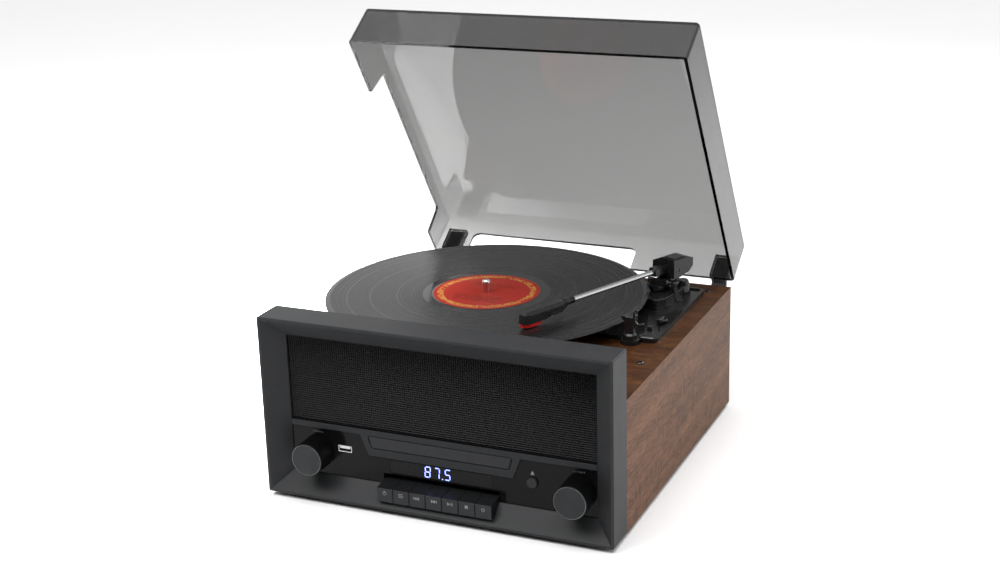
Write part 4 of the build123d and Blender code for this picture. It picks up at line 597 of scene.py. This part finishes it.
# %% The label's paper and its marks
def cells(tree, across, up):
    """A value from 0 to 1 for each whole step across and up."""
    corner = add_node(tree, "ShaderNodeCombineXYZ")
    tree.links.new(sum_of(tree, "FLOOR", across), corner.inputs["X"])
    tree.links.new(sum_of(tree, "FLOOR", up), corner.inputs["Y"])
    value = add_node(tree, "ShaderNodeTexWhiteNoise", noise_dimensions="2D")
    tree.links.new(corner.outputs["Vector"], value.inputs["Vector"])
    return value.outputs["Value"]


marks_round = 100
mark_height = 1.4 * mm
mark_ring_radius = 43.5 * mm
mark_ring_half = 2.8 * mm
on_label = sum_of(tree, "LESS_THAN", radius, label_radius)
label_x, label_y, _ = parts_of(tree, place)
angle = sum_of(tree, "ARCTAN2", label_y, label_x)
turn_marks = sum_of(tree, "MULTIPLY", angle, marks_round / (2 * math.pi))
ring_marks = sum_of(tree, "MULTIPLY", radius, 1 / mark_height)
inked = sum_of(tree, "GREATER_THAN", cells(tree, turn_marks, ring_marks), 0.3)
between = sum_of(tree, "LESS_THAN", sum_of(tree, "FRACT", turn_marks), 0.62)
mark_ring = sum_of(tree, "COMPARE", radius, mark_ring_radius, mark_ring_half)
gold = sum_of(tree, "MULTIPLY", sum_of(tree, "MULTIPLY", inked, between), mark_ring)

# %% Lines of small print near the middle of the label
line_pitch = 3.2 * mm
letter_width = 1.1 * mm
print_half = 24 * mm
print_zones = [(-21 * mm, 8 * mm), (19 * mm, 4.8 * mm)]  # the middle and half height of each
line_number = sum_of(tree, "DIVIDE", label_y, line_pitch)
letter_number = sum_of(tree, "MULTIPLY", label_x, 1 / letter_width)
in_line = sum_of(tree, "COMPARE", sum_of(tree, "FRACT", line_number), 0.5, 0.2)
letters = sum_of(tree, "GREATER_THAN", cells(tree, letter_number, line_number), 0.45)
wide = sum_of(tree, "COMPARE", label_x, 0.0, print_half)
low_part, high_part = (sum_of(tree, "COMPARE", label_y, *zone) for zone in print_zones)
print_zone = sum_of(tree, "MULTIPLY", wide, sum_of(tree, "ADD", low_part, high_part))
ink = sum_of(tree, "MULTIPLY", sum_of(tree, "MULTIPLY", in_line, letters), print_zone)

# %% Put the record's finish together
paper = mixed(tree, ink, (0.25, 0.022, 0.015), (0.06, 0.01, 0.008))
paper = mixed(tree, gold, paper, (0.42, 0.23, 0.05))
black = mixed(tree, grooved, (0.008, 0.008, 0.0084), vinyl_black)
tree.links.new(mixed(tree, on_label, black, paper), shader.inputs["Base Color"])
rougher = sum_of(tree, "MULTIPLY_ADD", loudness, 0.16, 0.08)
vinyl_sheen = sum_of(tree, "MULTIPLY_ADD", grooved, rougher, 0.12)
paper_sheen = sum_of(tree, "MULTIPLY", on_label, 0.45)
tree.links.new(sum_of(tree, "MAXIMUM", vinyl_sheen, paper_sheen), shader.inputs["Roughness"])
shine = sum_of(tree, "MULTIPLY_ADD", on_label, -0.35, 0.4)
tree.links.new(shine, shader.inputs["Specular IOR Level"])
turn_pitch = 0.9 * mm  # far coarser than a real groove, which would vanish
rings = sum_of(tree, "SINE", sum_of(tree, "MULTIPLY", radius, 2 * math.pi / turn_pitch))
ring_height = sum_of(tree, "MULTIPLY", grooved, sum_of(tree, "MULTIPLY_ADD", rings, 0.3, loudness))
bumped(tree, shader, ring_height, 0.012 * mm)
dress(vinyl, "record")

# %% [markdown]
# ## The smoke-tinted cover
# The cover is clear plastic with a grey dye all through it, so light that crosses a wall loses
# about half, and light that travels along a wall loses nearly all, which is why its cut edges
# look black. A volume that absorbs does both with one number. For rays that only carry shadow,
# the surface is simply transparent, so the lamps still reach the deck through it.

# %% Smoked plastic
cover_finish, tree, shader = new_finish(
    "cover_smoke", (1, 1, 1), 0.02, IOR=1.49, Transmission_Weight=1.0
)
haze = noise(tree, object_place(tree), 12, detail=4.0)
tree.links.new(sum_of(tree, "MULTIPLY", haze, 0.05), shader.inputs["Roughness"])
dye_density = 405.0  # per metre
dye = add_node(tree, "ShaderNodeVolumeAbsorption", in_Density=dye_density)
dye.inputs["Color"].default_value = (0.05, 0.05, 0.045, 1)
output = tree.nodes["Material Output"]
tree.links.new(dye.outputs["Volume"], output.inputs["Volume"])
through = add_node(tree, "ShaderNodeBsdfTransparent")
shadow = add_node(tree, "ShaderNodeLightPath")
either = add_node(tree, "ShaderNodeMixShader")
tree.links.new(shadow.outputs["Is Shadow Ray"], either.inputs["Fac"])
tree.links.new(shader.outputs["BSDF"], either.inputs[1])
tree.links.new(through.outputs["BSDF"], either.inputs[2])
tree.links.new(either.outputs["Shader"], output.inputs["Surface"])
dress(cover_finish, "dust_cover")

# %% [markdown]
# ## Pieces made here
# The rest is modelled with bmesh operators. Each piece is made where it belongs, its object stays
# at the origin, and it rides on the body that carries it.


# %% From a bmesh to a piece
def put_in_order(elements, place_of):
    """Number a bmesh's corners or faces by where they are, so that each run gives the same mesh."""
    ranks = {element: rank for rank, element in enumerate(sorted(elements, key=place_of))}
    elements.sort(key=lambda element: ranks[element])


def make_piece(shape, name, material, body):
    """Turn a bmesh into a piece that rides on a body."""
    bmesh.ops.recalc_face_normals(shape, faces=shape.faces)
    put_in_order(shape.verts, lambda vert: tuple(vert.co))
    put_in_order(shape.faces, lambda face: tuple(face.calc_center_median()))
    mesh = bpy.data.meshes.new(name)
    shape.to_mesh(mesh)
    shape.free()
    mesh.materials.append(material)
    piece = bpy.data.objects.new(name, mesh)
    bpy.context.scene.collection.objects.link(piece)
    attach(piece, body)
    print(name, len(mesh.polygons), "faces, on", body)
    return piece


def add_bar(shape, centre, size):
    """A thin block with its middle at centre."""
    made = bmesh.ops.create_cube(shape, size=1.0)["verts"]
    bmesh.ops.scale(shape, vec=Vector(size), verts=made)
    bmesh.ops.translate(shape, vec=Vector(centre), verts=made)


def turn_about(shape, verts, axis, angle=math.pi / 2):
    """Turn vertices about an axis through the origin."""
    turned = Matrix.Rotation(angle, 3, axis)
    bmesh.ops.rotate(shape, cent=(0, 0, 0), matrix=turned, verts=verts)


# %% [markdown]
# ## The speaker grille
# The grille is woven or punched mesh with holes about 2 mm apart. A picture of holes would look
# flat from the side, so each cell of a grid is inset, its middle is deleted, and the sheet gets a
# thickness. The frame's plain sheet is then hidden, and this piece stands for it.

# %% Mesh with real holes
mesh_pitch = 2.05 * mm
wire_half = 0.42 * mm
dish = 0.5 * mm  # how far a cell's middle lies behind the wires
sheet = 0.4 * mm
grille_centre = (grille_low + grille_high) / 2
grille_size = grille_high - grille_low
columns = round(grille_size.x / mesh_pitch)
rows = round(grille_size.z / mesh_pitch)
shape = bmesh.new()
bmesh.ops.create_grid(shape, x_segments=columns, y_segments=rows, size=0.5)
bmesh.ops.scale(shape, vec=(grille_size.x, grille_size.z, 1), verts=shape.verts)
turn_about(shape, shape.verts, "X")
bmesh.ops.translate(
    shape, vec=(grille_centre.x, grille_low.y, grille_centre.z), verts=shape.verts
)
holes = list(shape.faces)
bmesh.ops.inset_individual(shape, faces=holes, thickness=wire_half, depth=-dish)
bmesh.ops.delete(shape, geom=holes, context="FACES")
wire_finish = moulded(
    "grille_black", (0.011, 0.0112, 0.0118), 0.36, grain=1500, depth=0.004 * mm, **matt
)
grille_mesh = make_piece(shape, "grille_mesh", wire_finish, "cabinet")
thickness = grille_mesh.modifiers.new("sheet", "SOLIDIFY")
thickness.thickness = sheet
thickness.offset = -1
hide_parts("speaker_grille")
print("holes:", columns * rows)

# %% [markdown]
# ## The display
# The window shows a station's frequency in lit digits of seven bars each. A bar is a thin block,
# and a digit is the bars that its number needs, leaning a little as such displays do.

# %% Seven-bar digits
glow, tree, shader = new_finish("display_glow", (0.5, 0.6, 1.0), 0.4, Emission_Strength=2.6)
flicker = noise(tree, object_place(tree), 700, detail=1.0)
blue = ramp(tree, flicker, [(0.3, (0.1, 0.15, 1.0)), (0.7, (0.24, 0.3, 1.0))])
tree.links.new(blue, shader.inputs["Emission Color"])
bars_of = {"8": "abcdefg", "7": "abc", "5": "acdfg"}
digit_height = 10.4 * mm
digit_width = 5.6 * mm
bar_width = 0.95 * mm
half_height = digit_height / 2 - bar_width / 2
half_width = digit_width / 2 - bar_width / 2
bar_gap = 0.9 * mm
bar_thickness = 0.06 * mm
lying = (2 * half_width - bar_gap, bar_thickness, bar_width)
upright = (bar_width, bar_thickness, half_height - bar_gap)
bar_places = {
    "a": ((0, half_height), lying),
    "b": ((half_width, half_height / 2), upright),
    "c": ((half_width, -half_height / 2), upright),
    "d": ((0, -half_height), lying),
    "e": ((-half_width, -half_height / 2), upright),
    "f": ((-half_width, half_height / 2), upright),
    "g": ((0, 0), lying),
}
digits = bmesh.new()
lean = 0.1
digit_places = [(-12.0 * mm, "8"), (-3.4 * mm, "7"), (6.8 * mm, "5")]
point_x = 1.7 * mm
digit_z = (lens_low.z + lens_high.z) / 2 + 0.1 * mm
face_y = lens_low.y - bar_thickness / 2
for x, number in digit_places:
    for bar in bars_of[number]:
        (dx, dz), size = bar_places[bar]
        add_bar(digits, (x + dx + dz * lean, face_y, digit_z + dz), size)
add_bar(digits, (point_x, face_y, digit_z - half_height), (bar_width, bar_thickness, bar_width))
make_piece(digits, "display_digits", glow, "cabinet")

# %% [markdown]
# ## Printed signs
# The keys carry the plain signs that every player has. Print is a film of ink, so each sign is a
# thin block or prism, a few hundredths of a millimetre proud.

# %% Ink, arrows and bars
ink_grey = moulded("ink_grey", (0.2, 0.205, 0.21), 0.6)
ink_thickness = 0.05 * mm


def add_arrow(shape, x, y, z, size, direction):
    """A filled arrow head: 1 points right, -1 left and 0 up."""
    corner = size * 0.62  # from the middle to each of the three corners
    made = bmesh.ops.create_cone(
        shape, cap_ends=True, segments=3, radius1=corner, radius2=corner, depth=ink_thickness
    )["verts"]
    turn_about(shape, made, "X")
    turn_about(shape, made, "Y", direction * math.pi / 2)
    bmesh.ops.translate(shape, vec=(x, y, z), verts=made)


def add_ring(shape, x, y, z, outer, inner):
    """A flat ring."""
    edge = bmesh.ops.create_circle(shape, segments=24, radius=outer)["verts"]
    hole = bmesh.ops.create_circle(shape, segments=24, radius=inner)["verts"]
    loops = dict.fromkeys(e for v in edge + hole for e in v.link_edges)  # each edge once
    faces = bmesh.ops.bridge_loops(shape, edges=list(loops))["faces"]
    thick = bmesh.ops.extrude_face_region(shape, geom=faces)["geom"]
    lifted = [v for v in thick if isinstance(v, bmesh.types.BMVert)]
    bmesh.ops.translate(shape, vec=(0, 0, ink_thickness), verts=lifted)
    made = edge + hole + lifted
    turn_about(shape, made, "X")
    bmesh.ops.translate(shape, vec=(x, y, z), verts=made)


# %% A sign on each key
unit = 1.3 * mm  # every sign is drawn in these
sign = 2.2 * unit
sign_height = 8.4 * mm
for name in sorted(n for n in nodes if n.startswith("key_")):
    low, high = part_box(name)
    x = (low.x + high.x) / 2
    y = low.y - ink_thickness / 2
    z = low.z + sign_height
    shape = bmesh.new()
    thin = (0.4 * unit, ink_thickness, sign)
    if name == "key_standby":
        add_ring(shape, x, y, z, 1.3 * unit, 0.95 * unit)
        add_bar(shape, (x, y, z + 1.1 * unit), (0.35 * unit, ink_thickness, 1.4 * unit))
    elif name == "key_function":
        for step in (-1, 0, 1):
            add_bar(shape, (x, y, z + step * 1.1 * unit), (3.4 * unit, ink_thickness, 0.4 * unit))
    elif name in ("key_previous", "key_next"):
        way = -1 if name == "key_previous" else 1
        add_arrow(shape, x - way * 0.9 * unit, y, z, sign, way)
        add_arrow(shape, x + way * 0.9 * unit, y, z, sign, way)
        add_bar(shape, (x + way * 2.3 * unit, y, z), thin)
    elif name == "key_play":
        add_arrow(shape, x - 1.1 * unit, y, z, sign, 1)
        add_bar(shape, (x + 0.9 * unit, y, z), thin)
        add_bar(shape, (x + 1.8 * unit, y, z), thin)
    elif name == "key_stop":
        add_bar(shape, (x, y, z), (sign, ink_thickness, sign))
    else:
        add_ring(shape, x, y, z, 1.2 * unit, 0.8 * unit)
    make_piece(shape, f"{name}_sign", ink_grey, f"{name}_body")

# %% The eject sign, and ticks over the knobs
eject_low, eject_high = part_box("eject_button")
eject_x = (eject_low.x + eject_high.x) / 2
panel_face = lens_low.y - ink_thickness / 2
arrow_size, arrow_gap = 3.2 * mm, 3.6 * mm
eject_bar, bar_rise = (3.4 * mm, ink_thickness, 0.5 * mm), 2.0 * mm
tick_width, tick_pitch, tick_gap = 0.4 * mm, 1.5 * mm, 2.6 * mm
shape = bmesh.new()
add_arrow(shape, eject_x, panel_face, eject_high.z + arrow_gap, arrow_size, 0)
add_bar(shape, (eject_x, panel_face, eject_high.z + bar_rise), eject_bar)
for node in ("tuning_knob", "volume_knob"):
    low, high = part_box(node)
    x = (low.x + high.x) / 2
    for step in range(-3, 4):
        # Even ticks for tuning, and ticks that grow for volume
        tall = 0.9 * mm if node == "tuning_knob" else (0.35 + 0.16 * (step + 3)) * mm
        place = (x + step * tick_pitch, panel_face, high.z + tick_gap + tall / 2)
        add_bar(shape, place, (tick_width, ink_thickness, tall))
make_piece(shape, "panel_signs", ink_grey, "cabinet")

# %% [markdown]
# ## Screws
# Two black screws lock the deck for transport. Others hold the back. A screw's head is a low dome.
# At this size two flat bars that cross on its top read as its recess, so nothing is cut, and the
# same function makes every screw.


# %% Screw heads
def add_screw(shape, centre, radius, up):
    """A domed head with two crossed bars on top. up is the way that it faces."""
    head = bmesh.ops.create_uvsphere(shape, u_segments=20, v_segments=10, radius=radius)["verts"]
    below = [v for v in head if v.co.z < -1e-6]
    bmesh.ops.delete(shape, geom=below, context="VERTS")
    dome = [v for v in head if v.is_valid]
    bmesh.ops.scale(shape, vec=(1, 1, 0.5), verts=dome)
    bar_size = (radius * 1.1, radius * 0.24, radius * 0.16)
    made = list(dome)
    for quarter in (0.0, math.pi / 2):
        cross = bmesh.ops.create_cube(shape, size=1.0)["verts"]
        bmesh.ops.scale(shape, vec=Vector(bar_size), verts=cross)
        turn_about(shape, cross, "Z", quarter)
        bmesh.ops.translate(shape, vec=(0, 0, radius * 0.46), verts=cross)
        made += cross
    turn = Vector((0, 0, 1)).rotation_difference(Vector(up)).to_matrix()
    bmesh.ops.rotate(shape, cent=(0, 0, 0), matrix=turn, verts=made)
    bmesh.ops.translate(shape, vec=Vector(centre), verts=made)


screw_black = metal("screw_black", (0.05, 0.05, 0.052), 0.16)
transport_radius = 3.4 * mm
transport_places = [(144.8 * mm, 149.1 * mm), (145.6 * mm, -53.8 * mm)]
shape = bmesh.new()
for x, y in transport_places:
    add_screw(shape, (x, y, top_high.z), transport_radius, (0, 0, 1))
make_piece(shape, "transport_screws", screw_black, "cabinet")

rear_radius = 2.2 * mm
inset_x, inset_z = 8 * mm, 7 * mm
shape = bmesh.new()
for x in (rear_low.x + inset_x, 0, rear_high.x - inset_x):
    for z in (rear_low.z + inset_z, rear_high.z - inset_z):
        add_screw(shape, (x, rear_high.y, z), rear_radius, (0, 1, 0))
make_piece(shape, "rear_screws", screw_black, "cabinet")

# %% [markdown]
# ## The studio
# Black plastic shows what stands round it. In a tent that is white on every side its faces all
# turn the same milky grey, so here only the back and the ceiling are white, and the room behind
# the camera is dark. The pale floor lights the faces that lean towards it.

# %% Floor and sky
floor_size = 12
bpy.ops.mesh.primitive_plane_add(size=floor_size, location=(0, 0, 0))
floor = bpy.context.object
floor.name = "floor"
floor_finish, tree, shader = new_finish("floor_white", (0.93, 0.93, 0.93), 0.9)
patchy = noise(tree, object_place(tree), 3)
pale = ramp(tree, patchy, [(0, (0.92, 0.92, 0.92)), (1, (0.94, 0.94, 0.94))])
tree.links.new(pale, shader.inputs["Base Color"])
floor.data.materials.append(floor_finish)
floor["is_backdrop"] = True
world = bpy.data.worlds.new("light_tent")
bpy.context.scene.world = world
world.use_nodes = True
tree = world.node_tree
toward = add_node(tree, "ShaderNodeTexCoord")
_, rearward, upward = parts_of(tree, toward.outputs["Generated"])


def rising(tree, source, start, end):
    """A smooth step from 0 to 1 as the source goes from start to end."""
    step = add_node(tree, "ShaderNodeMapRange", interpolation_type="SMOOTHSTEP")
    step.inputs["From Min"].default_value = start
    step.inputs["From Max"].default_value = end
    tree.links.new(source, step.inputs["Value"])
    return step.outputs["Result"]


# White at the back and overhead, dark in front, and plain white wherever the camera looks
behind = rising(tree, rearward, -0.3, 0.15)
overhead = rising(tree, upward, 0.5, 0.8)
white = sum_of(tree, "MAXIMUM", behind, overhead)
seen = add_node(tree, "ShaderNodeLightPath")
white = sum_of(tree, "MAXIMUM", white, seen.outputs["Is Camera Ray"])
backdrop = tree.nodes["Background"]
sky = mixed(tree, white, (0.05, 0.051, 0.054), (1.0, 1.0, 1.0))
tree.links.new(sky, backdrop.inputs["Color"])
backdrop.inputs["Strength"].default_value = 1.1
bpy.context.scene.view_settings.view_transform = "Standard"

# %% [markdown]
# ## Lamps
# Every lamp is a square panel. A large one overhead draws the upper edges and gives the soft
# shadow. A second one is high in front on the left, and it lights the bezel and the record. A
# small one behind puts a glint on the arm, and a weak one on the right keeps the wooden side
# readable. The last is a narrow beam on the floor to the left, which the cover reflects. Glossy
# faces don't see that lamp itself, only what it lights.


# %% Five softboxes
def softbox(name, place, target, size, power):
    """A square lamp that faces a point."""
    lamp = bpy.data.lights.new(name, "AREA")
    lamp.shape = "SQUARE"
    lamp.size = size
    lamp.energy = power
    holder = bpy.data.objects.new(name, lamp)
    holder.location = place
    way = Vector(target) - Vector(place)
    holder.rotation_euler = way.to_track_quat("-Z", "Y").to_euler()
    bpy.context.scene.collection.objects.link(holder)
    return holder


softbox("overhead", (0.2, -0.6, 2.0), (0, 0, 0), 1.7, 25)
softbox("front_high", (-0.85, -1.15, 1.75), (0, 0, 0.1), 0.9, 17)
softbox("rear_glint", (0.5, 1.5, 1.1), (0.1, 0.05, 0.14), 0.35, 5)
softbox("right_fill", (1.8, -0.2, 0.9), (0.1, 0, 0.08), 0.9, 3)
left_floor = softbox("left_floor", (-0.62, 0.2, 0.95), (-0.45, 0.2, 0), 0.3, 9)
left_floor.data.spread = math.radians(50)
left_floor.visible_glossy = False
left_floor.visible_transmission = False

# %% [markdown]
# ## The camera
# The camera stands in front, to the right and above, and looks a little down. Its roll is small
# but real.

# %% Camera
yaw, pitch, roll = (math.radians(angle) for angle in (24.0, -18.25, -1.64))
camera_place = (0.572, -1.3002, 0.6325)
focal_length = 59.42
film_width = 36
camera_data = bpy.data.cameras.new("camera")
camera_data.lens = focal_length
camera_data.sensor_width = film_width
camera = bpy.data.objects.new("camera", camera_data)
panned = Matrix.Rotation(yaw, 4, "Z")
tilted = Matrix.Rotation(math.pi / 2 + pitch, 4, "X")
rolled = Matrix.Rotation(roll, 4, "Z")
camera.matrix_world = Matrix.Translation(camera_place) @ panned @ tilted @ rolled
bpy.context.scene.collection.objects.link(camera)
bpy.context.scene.camera = camera

# %% Sizes, and the last line
low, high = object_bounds()
print("visual size", [round(v, 4) for v in high - low])
